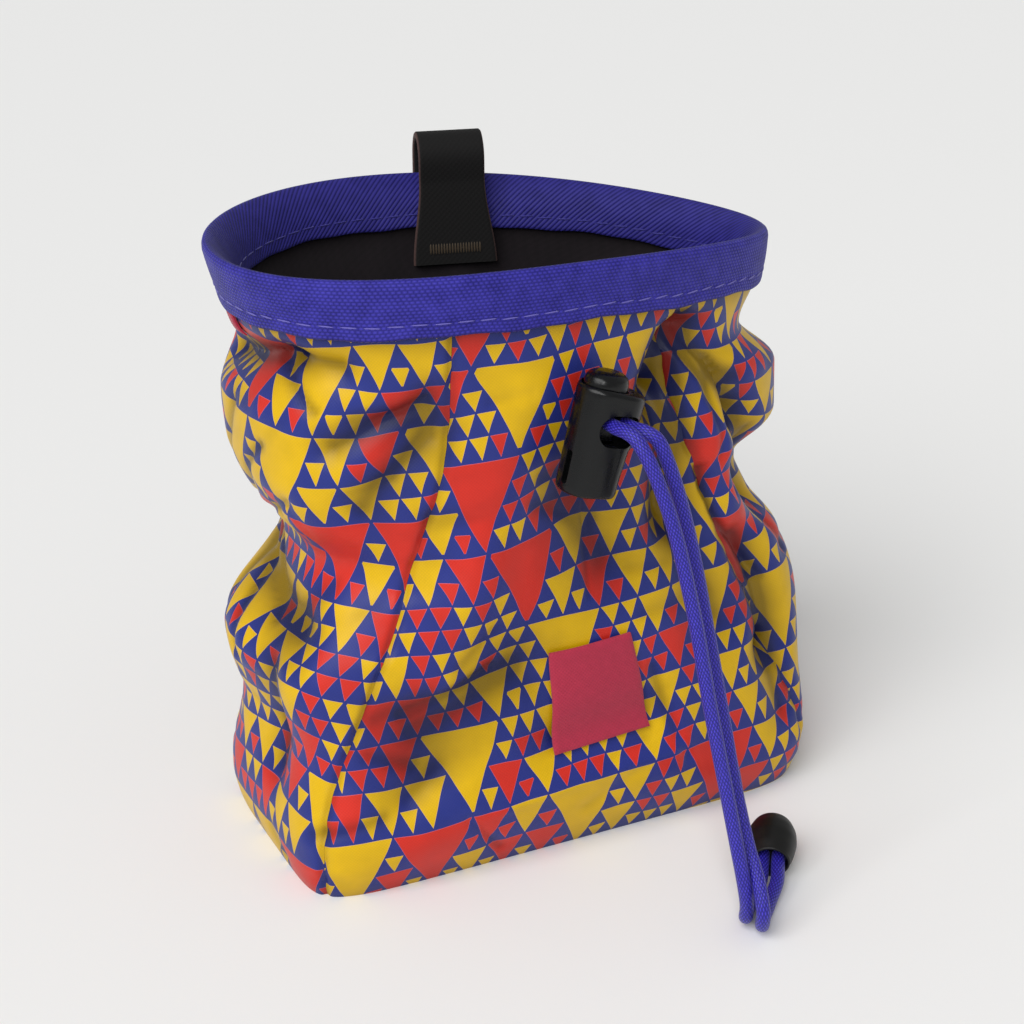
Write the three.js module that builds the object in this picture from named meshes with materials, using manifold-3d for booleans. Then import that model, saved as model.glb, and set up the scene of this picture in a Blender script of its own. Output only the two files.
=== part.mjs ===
// Climbing chalk bag with a printed fabric shell, a bound rim, a cord lock and a drawstring.
// Millimetres, +Z up. The front panel faces -Y, and +X is at the viewer's right.

import * as THREE from "three";
import { mergeVertices } from "three/addons/utils/BufferGeometryUtils.js";
import Module from "manifold-3d";

const wasm = await Module();
wasm.setup();

// Shell, measured on the outer face of the printed fabric
const height = 131.7; // mean height of the bound rim
const halfLength = 60;
const frontDepth = 37;
const backDepth = 39;
const shellWall = 1.5;
const baseTuck = 2.6; // how far the walls run in under the bag at the floor
const tuckHeight = 11;
const seamGap = 0.3;
const layerGap = 0.3;

// Rim, which drops to the right and to the back and sags at its two ends
const rimDropRight = 4;
const rimDropBack = 1.3;
const rimSag = 2;
const rimNarrowing = 0.267; // how much narrower the opening gets towards the right
const rimTwist = -4; // degrees

// Lining
const liningWall = 1.2;
const liningGap = 0.5;
const liningSlack = 2; // how far the lining hangs away from the shell below the rim
const collarHeight = 26;

// Webbing tape folded over the rim
const tapeThickness = 1;
const tapeOutside = 12;
const tapeInside = 11;
const tapeRound = 2.5;
const tapeShoulder = 0.7;

// Webbing loop sewn over the back of the rim
const strapThickness = 1.6;
const strapTopWidth = 14;
const strapBaseWidth = 18;
const loopRise = 9.4;
const outerTail = 7; // past the tape's lower edge, on the back panel
const innerTail = 9;
const strapRelief = 1; // room for flat webbing inside the curved rim
const strapPlay = 0.2; // and outside it

// Cord lock, leaning to the right against the front panel
const lockWidth = 14;
const lockThickness = 11;
const lockLength = 21.4;
const lockCorner = 4;
const lockLean = 13; // degrees
const lockX = 1;
const lockZ = 98.8;
const shoulderDrop = 2;
const lockDraft = 0.16; // narrowing of the right side towards the bottom
const windowWidth = 9.4;
const windowHeight = 6.4;
const windowAcross = 1.5; // from the lock's middle to the window's
const windowUp = 2.9;
const windowDepth = 4.5;
const buttonAcross = -1.7;
const buttonWidth = 8.8;
const buttonThickness = 8;
const buttonProud = 3.7; // from the lock's shoulder to the top of the dome
const buttonTravel = 2;
const buttonClearance = 0.4;
const skirtSink = 0.7; // the dome's lower edge sits this far inside the shoulder
const stemWidth = 7;
const stemThickness = 4.4;
const stemLength = 11.5;

// Drawstring and its end stopper
const cordDiameter = 3;
const cordSides = 8;
const cordSteps = 38;
const stopperRadius = 5.5;
const stopperMouth = 4.2;
const stopperLength = 13;
const stopperPocketRadius = 3.6;
const stopperPocketDepth = 3.2;
const stopperPoint = [30, -68, 4.15]; // middle of the mouth
const stopperHeading = [0.55, 0.81, 0.2];

// Small trims
const labelWidth = 19;
const labelHeight = 22;
const labelThickness = 0.8;
const labelAcross = 3.3; // from the front panel's middle to the label's
const labelUp = 37;
const labelGap = 0.7;
const labelTurn = 2; // degrees
const tabWidth = 4;
const tabHeight = 5;
const tabThickness = 0.8;

// Columns and rows of the faceted solids
const panelColumns = { gusset_right: 15, back_panel: 14, gusset_left: 15, front_panel: 22 };
const ringColumns = { gusset_right: 15, back_panel: 9, gusset_left: 15, front_panel: 11 };
const panelRows = 18;

// Shell sections from the floor to the rim. left and right are shares of halfLength, front of
// frontDepth and back of backDepth. seam is the half width of the front and back panels as a share
// of halfLength, rimShape how much of the rim's narrowing and twist a section has, and the corner
// columns say how square its corners are.
const sections = table(
  ["share", "left", "right", "front", "back", "frontCorner", "backCorner", "seam", "rimShape"],
  [
    [0.00, 1.060, 1.030, 1.035, 0.76, 8.0, 3.9, 1.000, 0.00],
    [0.10, 1.045, 1.050, 1.065, 0.76, 7.0, 3.8, 0.985, 0.00],
    [0.22, 0.990, 1.060, 1.050, 0.76, 5.0, 3.6, 0.900, 0.00],
    [0.35, 1.060, 1.080, 1.000, 0.78, 4.0, 3.3, 0.780, 0.05],
    [0.45, 0.940, 1.040, 0.975, 0.79, 3.3, 3.0, 0.670, 0.12],
    [0.53, 0.840, 0.920, 0.955, 0.80, 2.9, 2.8, 0.600, 0.20],
    [0.60, 0.950, 0.870, 0.950, 0.83, 2.7, 2.6, 0.550, 0.32],
    [0.68, 1.020, 1.040, 0.950, 0.86, 2.6, 2.5, 0.490, 0.45],
    [0.76, 1.030, 1.040, 0.960, 0.90, 2.5, 2.4, 0.455, 0.60],
    [0.84, 0.970, 0.880, 0.970, 0.93, 2.35, 2.25, 0.445, 0.75],
    [0.92, 1.010, 0.955, 0.990, 0.97, 2.25, 2.1, 0.440, 0.90],
    [1.00, 1.058, 0.980, 1.010, 1.01, 2.13, 1.95, 0.443, 1.00],
  ],
);

// Dents and folds of the shell, each from one point of the cloth to another. round is the way
// around from the middle of the front, as a share of the rim's girth and positive to the right, and
// up is a share of height. wide and deep are shares of foldWidth and foldDepth, and a negative deep
// is a dent.
const foldWidth = 6;
const foldDepth = 3;
const folds = table(
  ["roundA", "upA", "roundB", "upB", "wide", "deep"],
  [
    [-0.310, 0.815, -0.210, 0.870, 0.67, -1.07],
    [-0.210, 0.870, -0.170, 0.860, 0.67, -0.60],
    [-0.165, 0.735, -0.110, 0.800, 0.75, -0.87],
    [-0.154, 0.635, -0.103, 0.747, 0.92, -0.80],
    [-0.200, 0.600, -0.150, 0.700, 1.50, 0.50],
    [-0.310, 0.470, -0.200, 0.420, 1.00, -1.00],
    [-0.220, 0.354, -0.235, 0.160, 0.75, -0.73],
    [-0.260, 0.360, -0.280, 0.200, 1.00, 0.40],
    [-0.036, 0.790, -0.081, 0.500, 1.33, 0.53],
    [-0.081, 0.500, -0.091, 0.343, 1.33, 0.47],
    [-0.010, 0.620, 0.020, 0.500, 1.83, -0.73],
    [-0.112, 0.270, -0.045, 0.345, 1.67, -0.80],
    [-0.118, 0.165, -0.100, 0.200, 1.00, -0.53],
    [-0.106, 0.115, 0.054, 0.145, 1.17, 0.60],
    [-0.019, 0.215, 0.040, 0.225, 1.00, -0.47],
    [0.090, 0.900, 0.066, 0.760, 0.92, -1.50],
    [0.066, 0.760, 0.085, 0.550, 1.08, -1.33],
    [0.085, 0.550, 0.100, 0.360, 1.17, -0.67],
    [0.115, 0.690, 0.145, 0.530, 0.92, 0.67],
    [0.100, 0.860, 0.135, 0.700, 0.75, -0.83],
    [0.135, 0.700, 0.190, 0.530, 0.75, -1.00],
    [0.141, 0.478, 0.147, 0.275, 0.83, -1.07],
    [0.147, 0.275, 0.152, 0.160, 0.75, -0.60],
    [0.060, 0.100, 0.100, 0.090, 1.17, 0.33],
    [0.300, 0.750, 0.400, 0.600, 1.33, -0.80],
    [0.270, 0.450, 0.330, 0.300, 1.17, -0.87],
    [0.420, 0.350, 0.470, 0.600, 1.50, -0.67],
    [-0.380, 0.720, -0.440, 0.500, 1.33, -0.80],
    [-0.360, 0.350, -0.420, 0.220, 1.33, -0.73],
    [0.240, 0.800, 0.300, 0.860, 0.83, -0.73],
  ],
);

// Routes of the two strands, from the lock's window over the floor into the stopper
const leftRoute = [
  [1.2, -44.5, 103], [1.4, -47.6, 103.1], [2.0, -50.4, 103.2], [2.8, -52.7, 102.4], [3.9, -55.5, 98.6],
  [5.8, -58, 90.8], [7.7, -60, 82.4], [9.9, -64.5, 66], [10.9, -70, 48.5], [11.7, -76.5, 31.5],
  [12.4, -80.5, 21], [13.2, -83, 13.5], [14.6, -83.3, 7.7], [15.6, -81.8, 3.5], [18, -78.3, 1.75],
  [21.9, -74.8, 1.9], [25.7, -71.2, 3.1], [28.6, -67.1, 4.15], [30.2, -64.7, 4.7],
];
const rightRoute = [
  [4.9, -44.5, 102.2], [5.2, -47.6, 102.3], [6.6, -50.4, 102.3], [8.5, -52.2, 101], [10.5, -54, 95.9],
  [13.1, -56, 86.2], [15.1, -58, 75.5], [16.5, -61, 62.9], [17.6, -66.5, 45], [17.6, -73.5, 28.3],
  [17.2, -79, 19], [16.7, -84.4, 12.6], [16.3, -87.2, 7.7], [17.1, -85.8, 3.5], [19.5, -82.3, 1.75],
  [24.4, -77.2, 1.9], [28.7, -73, 3.1], [31.4, -68.9, 4.15], [33, -66.6, 4.7],
];

// A short table as rows with named columns
function table(names, rows) {
  return rows.map((row) => Object.fromEntries(names.map((name, i) => [name, row[i]])));
}

// 0 up to 1 over the unit range, level at both ends
function ease(value) {
  const t = THREE.MathUtils.clamp(value, 0, 1);
  return t * t * (3 - 2 * t);
}

// A smooth curve through one column of the section table that never swings past its rows
function columnCurve(name) {
  const x = sections.map((row) => row.share);
  const y = sections.map((row) => row[name]);
  const slope = x.slice(1).map((value, i) => (y[i + 1] - y[i]) / (value - x[i]));
  const tangent = y.map((_, i) => {
    if (i === 0) return slope[0];
    if (i === slope.length) return slope[i - 1];
    if (slope[i - 1] * slope[i] <= 0) return 0;
    const before = x[i] - x[i - 1];
    const after = x[i + 1] - x[i];
    return (3 * (before + after)) / ((2 * after + before) / slope[i - 1] + (after + 2 * before) / slope[i]);
  });
  return (share) => {
    const i = THREE.MathUtils.clamp(x.findLastIndex((value) => value <= share), 0, slope.length - 1);
    const span = x[i + 1] - x[i];
    const t = THREE.MathUtils.clamp((share - x[i]) / span, 0, 1);
    const rise = ease(t);
    const bendA = t * (1 - t) * (1 - t) * span * tangent[i];
    const bendB = t * t * (1 - t) * span * tangent[i + 1];
    return y[i] + (y[i + 1] - y[i]) * rise + bendA - bendB;
  };
}

const columnNames = Object.keys(sections[0]).slice(1);
const curves = Object.fromEntries(columnNames.map((name) => [name, columnCurve(name)]));

function sectionAt(share) {
  return Object.fromEntries(columnNames.map((name) => [name, curves[name](share)]));
}

// Outer face of a section in plan, before folds, at an angle around from +X
function planPoint(section, angle) {
  const c = Math.cos(angle);
  const s = Math.sin(angle);
  const corner = s > 0 ? section.backCorner : section.frontCorner;
  const reach = (Math.abs(c) ** corner + Math.abs(s) ** corner) ** (-1 / corner);
  const x = (c > 0 ? section.right : section.left) * halfLength * c * reach;
  const depth = s > 0 ? section.back * backDepth : section.front * frontDepth;
  const y = depth * s * reach * (1 - rimNarrowing * section.rimShape * (x / halfLength));
  const turn = THREE.MathUtils.degToRad(rimTwist * section.rimShape);
  return new THREE.Vector2(x, y).rotateAround(new THREE.Vector2(), turn);
}

// Angles where the four panels of a section meet
function panelAngles(section) {
  const seamAngle = (width, corner) => {
    const share = Math.min(section.seam / width, 0.985);
    return Math.atan((share ** -corner - 1) ** (1 / corner));
  };
  const rightBack = seamAngle(section.right, section.backCorner);
  const rightFront = seamAngle(section.right, section.frontCorner);
  const leftBack = seamAngle(section.left, section.backCorner);
  const leftFront = seamAngle(section.left, section.frontCorner);
  return {
    gusset_right: [-rightFront, rightBack],
    back_panel: [rightBack, Math.PI - leftBack],
    gusset_left: [Math.PI - leftBack, Math.PI + leftFront],
    front_panel: [Math.PI + leftFront, 2 * Math.PI - rightFront],
  };
}

// One section's panels as fine polylines with the length along each, kept for reuse
const fineSteps = 80;
const sectionCache = new Map();
function panelLines(share) {
  if (sectionCache.has(share)) return sectionCache.get(share);
  const section = sectionAt(share);
  const lines = {};
  for (const [panel, [from, to]] of Object.entries(panelAngles(section))) {
    const angles = Array.from({ length: fineSteps + 1 }, (_, i) => from + ((to - from) * i) / fineSteps);
    const points = angles.map((angle) => planPoint(section, angle));
    const along = [0];
    for (let i = 1; i < points.length; i += 1) along.push(along[i - 1] + points[i].distanceTo(points[i - 1]));
    lines[panel] = { angles, points, along, length: along[fineSteps] };
  }
  const front = lines.front_panel;
  const crossing = front.points.findIndex((point) => point.x > 0);
  front.start = -front.along[crossing];
  lines.gusset_right.start = front.start + front.length;
  lines.back_panel.start = lines.gusset_right.start + lines.gusset_right.length;
  lines.gusset_left.start = front.start - lines.gusset_left.length;
  const girth = Object.values(lines).reduce((sum, line) => sum + line.length, 0);
  const result = { section, lines, girth };
  sectionCache.set(share, result);
  return result;
}

const rimGirth = panelLines(1).girth;

// How far the folds push the cloth out, with each fold widened by a factor
function foldsAt(round, share, widen) {
  let push = 0;
  for (const fold of folds) {
    const a = new THREE.Vector2(fold.roundA * rimGirth, fold.upA * height);
    const b = new THREE.Vector2(fold.roundB * rimGirth, fold.upB * height);
    const line = b.clone().sub(a);
    for (const lap of [-1, 0, 1]) {
      const spot = new THREE.Vector2((round + lap) * rimGirth, share * height);
      const t = THREE.MathUtils.clamp(spot.clone().sub(a).dot(line) / line.lengthSq(), 0, 1);
      const away = spot.distanceTo(a.clone().addScaledVector(line, t));
      push += fold.deep * foldDepth * Math.exp(-((away / (fold.wide * foldWidth * widen)) ** 2));
    }
  }
  const hemShare = 1 - (tapeOutside + 0.5) / height;
  const hemRise = 6 / height;
  return push * ease((hemShare - share) / hemRise) * ease((share * height) / (tuckHeight / 2));
}

function rimHeight(x, y, angle) {
  const drop = rimDropRight * (x / halfLength) + rimDropBack * (y / backDepth);
  return height - drop - rimSag * Math.cos(2 * angle);
}

// A point of the bag's wall: share of the height, panel and way across it from 0 to 1, how far out
// from the printed face it lies, a rise above that height, and a trim at the panel's two seams
function wallPoint(share, panel, across, out = 0, rise = 0, trim = 0, widen = 1) {
  const level = Math.min(share, 1);
  const { section, lines, girth } = panelLines(level);
  const line = lines[panel];
  const spot = THREE.MathUtils.lerp(trim, line.length - trim, across);
  const step = THREE.MathUtils.clamp(line.along.findLastIndex((value) => value <= spot), 0, fineSteps - 1);
  const part = (spot - line.along[step]) / (line.along[step + 1] - line.along[step]);
  const angle = THREE.MathUtils.lerp(line.angles[step], line.angles[step + 1], part);
  const point = planPoint(section, angle);
  const turn = 0.001;
  const along = planPoint(section, angle + turn).sub(planPoint(section, angle - turn)).normalize();
  const outward = new THREE.Vector2(along.y, -along.x);
  const round = (line.start + spot) / girth;
  const tuck = baseTuck * Math.max(1 - (level * height) / tuckHeight, 0) ** 2;
  let push = foldsAt(round, level, widen);
  if (widen > 1) push = Math.min(push, 0);
  const z = share * rimHeight(point.x, point.y, angle) + rise;
  point.addScaledVector(outward, push - tuck + out);
  return { point: new THREE.Vector3(point.x, point.y, z), outward, along };
}

// A closed mesh from points and triangles, turned so that its faces point out
function solid(points, triangles) {
  let volume = 0;
  for (let i = 0; i < triangles.length; i += 3) {
    const [a, b, c] = [points[triangles[i]], points[triangles[i + 1]], points[triangles[i + 2]]];
    volume += a.dot(b.clone().cross(c));
  }
  const faces = volume < 0 ? triangles.slice().reverse() : triangles;
  const geometry = new THREE.BufferGeometry().setFromPoints(points);
  geometry.setIndex(faces);
  geometry.computeVertexNormals();
  return geometry;
}

// Two triangles for four corners that run around a face
function quad(triangles, a, b, c, d) {
  triangles.push(a, b, c, a, c, d);
}

// A wall between an outer and an inner grid of points, its rows running up and its columns around
function wallSolid(outer, inner, isRing) {
  const rows = outer.length;
  const columns = outer[0].length;
  const last = isRing ? columns : columns - 1;
  const out = (r, c) => r * columns + (c % columns);
  const back = (r, c) => rows * columns + out(r, c);
  const triangles = [];
  for (let c = 0; c < last; c += 1) {
    for (let r = 0; r < rows - 1; r += 1) {
      quad(triangles, out(r, c), out(r, c + 1), out(r + 1, c + 1), out(r + 1, c));
      quad(triangles, back(r, c), back(r + 1, c), back(r + 1, c + 1), back(r, c + 1));
    }
    quad(triangles, out(rows - 1, c), out(rows - 1, c + 1), back(rows - 1, c + 1), back(rows - 1, c));
    if (!isRing) quad(triangles, out(0, c), back(0, c), back(0, c + 1), out(0, c + 1));
  }
  const points = [...outer.flat(), ...inner.flat()];
  if (isRing) {
    addFloor(points, triangles, outer[0], (c) => out(0, c), false);
    addFloor(points, triangles, inner[0], (c) => back(0, c), true);
  } else {
    for (let r = 0; r < rows - 1; r += 1) {
      quad(triangles, out(r, 0), out(r + 1, 0), back(r + 1, 0), back(r, 0));
      quad(triangles, out(r, last), back(r, last), back(r + 1, last), out(r + 1, last));
    }
  }
  return solid(points, triangles);
}

// A flat floor inside the lowest row of a ring
function addFloor(points, triangles, row, index, faceUp) {
  const middle = row.reduce((sum, point) => sum.add(point), new THREE.Vector3()).divideScalar(row.length);
  points.push(middle);
  const hub = points.length - 1;
  for (let c = 0; c < row.length; c += 1) {
    if (faceUp) triangles.push(hub, index(c), index(c + 1));
    else triangles.push(hub, index(c + 1), index(c));
  }
}

// A closed outline carried round a closed path; frames[i][k] is outline point k at path place i
function loopedSolid(frames) {
  const places = frames.length;
  const corners = frames[0].length;
  const at = (i, k) => (i % places) * corners + (k % corners);
  const triangles = [];
  for (let i = 0; i < places; i += 1) {
    for (let k = 0; k < corners; k += 1) quad(triangles, at(i, k), at(i + 1, k), at(i + 1, k + 1), at(i, k + 1));
  }
  return solid(frames.flat(), triangles);
}

// A four-cornered bar through a row of cross-sections, closed at both ends
function barSolid(frames) {
  const triangles = [];
  const at = (i, k) => i * 4 + (k % 4);
  for (let i = 0; i < frames.length - 1; i += 1) {
    for (let k = 0; k < 4; k += 1) quad(triangles, at(i, k), at(i, k + 1), at(i + 1, k + 1), at(i + 1, k));
  }
  const end = frames.length - 1;
  quad(triangles, at(0, 3), at(0, 2), at(0, 1), at(0, 0));
  quad(triangles, at(end, 0), at(end, 1), at(end, 2), at(end, 3));
  return solid(frames.flat(), triangles);
}

// Printed panels: their top edge ends under the tape
const shellTop = 1 - (tapeThickness + 2 * layerGap) / height;

// Rows lie closer together where the wall turns in at the floor, and one lies at the tape's edge
function panelShares() {
  const crowding = 1.12;
  const hem = 1 - tapeOutside / height;
  const below = panelRows - 2;
  return [...Array.from({ length: below + 1 }, (_, i) => hem * (i / below) ** crowding), shellTop];
}

function panelGeometry(panel) {
  const grid = (out) =>
    panelShares().map((share) =>
      Array.from({ length: panelColumns[panel] + 1 }, (_, i) => {
        const across = i / panelColumns[panel];
        return wallPoint(share, panel, across, out, 0, seamGap / 2).point;
      }),
    );
  return wallSolid(grid(0), grid(-shellWall), false);
}

// All four panels' places around a ring, each as a panel and the way across it
function ringPlaces(columns) {
  return Object.entries(columns).flatMap(([panel, count]) =>
    Array.from({ length: count }, (_, i) => ({ panel, across: i / count })),
  );
}

const baseThickness = 1.5;

function baseGeometry() {
  const inset = -(shellWall + layerGap);
  const lower = ringPlaces(ringColumns).map(({ panel, across }) => wallPoint(0, panel, across, inset).point);
  const upper = lower.map((point) => point.clone().setZ(baseThickness));
  const count = lower.length;
  const triangles = [];
  for (let c = 0; c < count; c += 1) {
    const next = (c + 1) % count;
    quad(triangles, c, next, count + next, count + c);
  }
  const points = [...lower, ...upper];
  addFloor(points, triangles, lower, (c) => c % count, false);
  addFloor(points, triangles, upper, (c) => count + (c % count), true);
  return solid(points, triangles);
}

// The lining hangs from the rim, a little away from the shell, and follows its dents more widely
function liningGeometry() {
  const floor = (baseThickness + layerGap) / height;
  const widen = 1.6;
  const hem = 1 - tapeInside / height;
  const between = sections.map((row) => row.share).filter((share) => share > floor && share < hem - 0.03);
  const levels = [floor, ...between, hem, shellTop];
  const grid = (depth, floorRise) =>
    levels.map((share, row) =>
      ringPlaces(ringColumns).map(({ panel, across }) => {
        const belowTape = (1 - share) * height - tapeInside;
        const slack = liningSlack * ease(belowTape / (collarHeight - tapeInside));
        const out = -(shellWall + liningGap + slack + depth);
        return wallPoint(share, panel, across, out, row === 0 ? floorRise : 0, 0, widen).point;
      }),
    );
  return wallSolid(grid(0, 0), grid(liningWall, liningWall), true);
}

// Faces of the tape that lie against the shell and the lining, out from the printed face
const tapeOuterFace = layerGap + tapeThickness;
const tapeInnerBack = -(shellWall + liningGap + liningWall + layerGap);
const tapeInnerFace = tapeInnerBack - tapeThickness;

function bindingGeometry() {
  const topDrop = tapeThickness + layerGap;
  const middle = (tapeOuterFace + tapeInnerFace) / 2;
  const outline = [
    [tapeOuterFace, -tapeOutside],
    [tapeOuterFace, -tapeRound],
    [tapeOuterFace - tapeShoulder, -tapeShoulder],
    [middle, 0],
    [tapeInnerFace + tapeShoulder, -tapeShoulder],
    [tapeInnerFace, -tapeRound],
    [tapeInnerFace, -tapeInside],
    [tapeInnerBack, -tapeInside],
    [tapeInnerBack, -topDrop],
    [layerGap, -topDrop],
    [layerGap, -tapeOutside],
  ];
  const frames = ringPlaces(panelColumns).map(({ panel, across }) =>
    outline.map(([out, drop]) => wallPoint(1 + drop / height, panel, across, out).point),
  );
  return loopedSolid(frames);
}

// The loop stands over the back of the rim; out and up are measured at the rim there
function loopGeometry() {
  const half = strapThickness / 2;
  const outside = tapeOuterFace + layerGap + strapPlay + half;
  const inside = tapeInnerFace - layerGap - half - strapRelief;
  const onWall = 2 * layerGap + strapPlay + half;
  const middle = (outside + inside) / 2;
  const path = [
    [onWall, -(tapeOutside + outerTail)],
    [onWall, -(tapeOutside + outerTail / 2)],
    [outside, -(tapeOutside + strapThickness / 2)],
    [outside, -tapeOutside / 2],
    [outside, 0],
  ];
  const archSteps = 8;
  const shoulder = loopRise * 0.45;
  for (let i = 0; i <= archSteps; i += 1) {
    const turn = (Math.PI * i) / archSteps;
    const reach = (outside - inside) / 2;
    path.push([middle + reach * Math.cos(turn), shoulder + (loopRise - shoulder) * Math.sin(turn)]);
  }
  path.push([inside, 0], [inside, -tapeInside / 2], [inside, -tapeInside], [inside, -(tapeInside + innerTail)]);
  const across = 0.485; // just right of the back panel's middle
  const rim = wallPoint(1, "back_panel", across);
  const spots = path.map(([out, up]) =>
    wallPoint(1 + Math.min(up, 0) / height, "back_panel", across, out, Math.max(up, 0)).point,
  );
  const side = new THREE.Vector3(rim.along.x, rim.along.y, 0);
  const frames = spots.map((spot, i) => {
    const ahead = spots[Math.min(i + 1, spots.length - 1)].clone().sub(spots[Math.max(i - 1, 0)]).normalize();
    const face = ahead.clone().cross(side).normalize().multiplyScalar(half);
    const low = ease(-path[i][1] / (tapeOutside + outerTail));
    const wide = THREE.MathUtils.lerp(strapTopWidth, strapBaseWidth, low) / 2;
    const corner = (s, f) => spot.clone().addScaledVector(side, s * wide).addScaledVector(face, f);
    return [corner(1, 1), corner(1, -1), corner(-1, -1), corner(-1, 1)];
  });
  return barSolid(frames);
}

// Booleans on closed geometries
function toManifold(geometry) {
  const bare = geometry.clone();
  bare.deleteAttribute("normal");
  bare.deleteAttribute("uv");
  const merged = mergeVertices(bare, 1e-3);
  const vertProperties = new Float32Array(merged.attributes.position.array);
  return new wasm.Manifold(new wasm.Mesh({ numProp: 3, vertProperties, triVerts: new Uint32Array(merged.index.array) }));
}

function fromManifold(body) {
  const mesh = body.getMesh();
  const geometry = new THREE.BufferGeometry();
  geometry.setAttribute("position", new THREE.BufferAttribute(new Float32Array(mesh.vertProperties), 3));
  geometry.setIndex(new THREE.BufferAttribute(new Uint32Array(mesh.triVerts), 1));
  geometry.computeVertexNormals();
  return geometry;
}

// A rounded rectangle in plan, for the lock's body and window
function roundedShape(width, depth, corner) {
  const x = width / 2;
  const y = depth / 2;
  const shape = new THREE.Shape();
  shape.moveTo(-x + corner, -y);
  shape.lineTo(x - corner, -y);
  shape.absarc(x - corner, -y + corner, corner, -Math.PI / 2, 0);
  shape.absarc(x - corner, y - corner, corner, 0, Math.PI / 2);
  shape.absarc(-x + corner, y - corner, corner, Math.PI / 2, Math.PI);
  shape.absarc(-x + corner, -y + corner, corner, Math.PI, 1.5 * Math.PI);
  return shape;
}

function ovalShape(width, depth) {
  return new THREE.Shape().absellipse(0, 0, width / 2, depth / 2, 0, 2 * Math.PI);
}

// An upright prism of a shape from one level to another
function prism(shape, from, to, acrossShift = 0, curveSegments = 4) {
  const geometry = new THREE.ExtrudeGeometry(shape, { depth: to - from, bevelEnabled: false, curveSegments });
  return geometry.translate(acrossShift, 0, from);
}

// Lock in its own frame: X across, -Y its front, Z along its axis, zero at the middle of its height
const lockTop = lockLength / 2;
const recessFloor = lockTop - skirtSink - buttonTravel - layerGap;
const buttonBase = recessFloor + buttonTravel + layerGap;
const stemBottom = lockTop - stemLength;

function lockBodyGeometry() {
  const bevel = 1;
  const shape = roundedShape(lockWidth - 2 * bevel, lockThickness - 2 * bevel, lockCorner - bevel);
  const body = new THREE.ExtrudeGeometry(shape, {
    depth: lockLength - 2 * bevel,
    bevelThickness: bevel,
    bevelSize: bevel,
    bevelSegments: 2,
    curveSegments: 3,
  }).translate(0, 0, -lockTop + bevel);
  const spots = body.attributes.position;
  for (let i = 0; i < spots.count; i += 1) {
    const x = spots.getX(i);
    const z = spots.getZ(i);
    const up = ease((z + lockTop) / lockLength);
    const side = Math.max(x / (lockWidth / 2), 0);
    spots.setX(i, x - lockDraft * lockWidth * (1 - up) * side);
    spots.setZ(i, z > 0 ? z - shoulderDrop * ease((x + lockWidth / 4) / lockWidth) : z);
  }
  const room = 2 * buttonClearance;
  const recess = prism(
    ovalShape(buttonWidth + room, buttonThickness + room), recessFloor, lockTop + 1, buttonAcross, 10,
  );
  const bore = prism(
    roundedShape(stemWidth + room, stemThickness + room, 1), stemBottom - buttonTravel - layerGap,
    recessFloor + 1, buttonAcross, 1,
  );
  const window = prism(roundedShape(windowWidth, windowHeight, windowHeight / 2 - 0.2), -1, windowDepth, 0, 3)
    .rotateX(-Math.PI / 2)
    .translate(windowAcross, -lockThickness / 2, windowUp);
  return fromManifold(
    toManifold(body).subtract(toManifold(recess)).subtract(toManifold(bore)).subtract(toManifold(window)),
  );
}

function lockButtonGeometry() {
  const domeHeight = lockTop + buttonProud - buttonBase;
  const profile = [
    [0, 0], [1, 0], [1, 0.36], [0.93, 0.66], [0.74, 0.87], [0.42, 0.98], [0, 1],
  ].map(([radius, up]) => new THREE.Vector2(radius, up * domeHeight));
  const dome = new THREE.LatheGeometry(profile, 20)
    .rotateX(Math.PI / 2)
    .scale(buttonWidth / 2, buttonThickness / 2, 1)
    .translate(buttonAcross, 0, buttonBase);
  const stem = prism(roundedShape(stemWidth, stemThickness, 1), stemBottom, buttonBase + 1, buttonAcross, 1);
  return fromManifold(toManifold(dome).add(toManifold(stem)));
}

// The lock's back lies against the cloth that stands out furthest behind its flat middle
function lockSeatY() {
  const lean = THREE.MathUtils.degToRad(lockLean);
  const flat = lockWidth / 2 - lockCorner / 2;
  let foremost = 0;
  for (let across = 0.1; across < 0.9; across += 0.01) {
    for (let z = lockZ - lockTop; z < lockZ + lockTop; z += 1) {
      const { point } = wallPoint(z / height, "front_panel", across);
      const spot = new THREE.Vector2(point.x - lockX, point.z - lockZ).rotateAround(new THREE.Vector2(), lean);
      const isBehind = Math.abs(spot.x) < flat && Math.abs(spot.y) < lockTop;
      if (isBehind) foremost = Math.min(foremost, point.y);
    }
  }
  return foremost - layerGap - lockThickness / 2;
}

function placeOnLock(geometry) {
  return geometry.rotateY(THREE.MathUtils.degToRad(lockLean)).translate(lockX, lockSeatY(), lockZ);
}

// A strand of the drawstring, a tube along its route
function cordGeometry(route) {
  const section = Array.from({ length: cordSides }, (_, i) => {
    const angle = (2 * Math.PI * i) / cordSides;
    return new THREE.Vector2(Math.cos(angle), Math.sin(angle)).multiplyScalar(cordDiameter / 2);
  });
  const extrudePath = new THREE.CatmullRomCurve3(route.map((point) => new THREE.Vector3(...point)));
  return new THREE.ExtrudeGeometry(new THREE.Shape(section), { steps: cordSteps, extrudePath });
}

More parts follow.
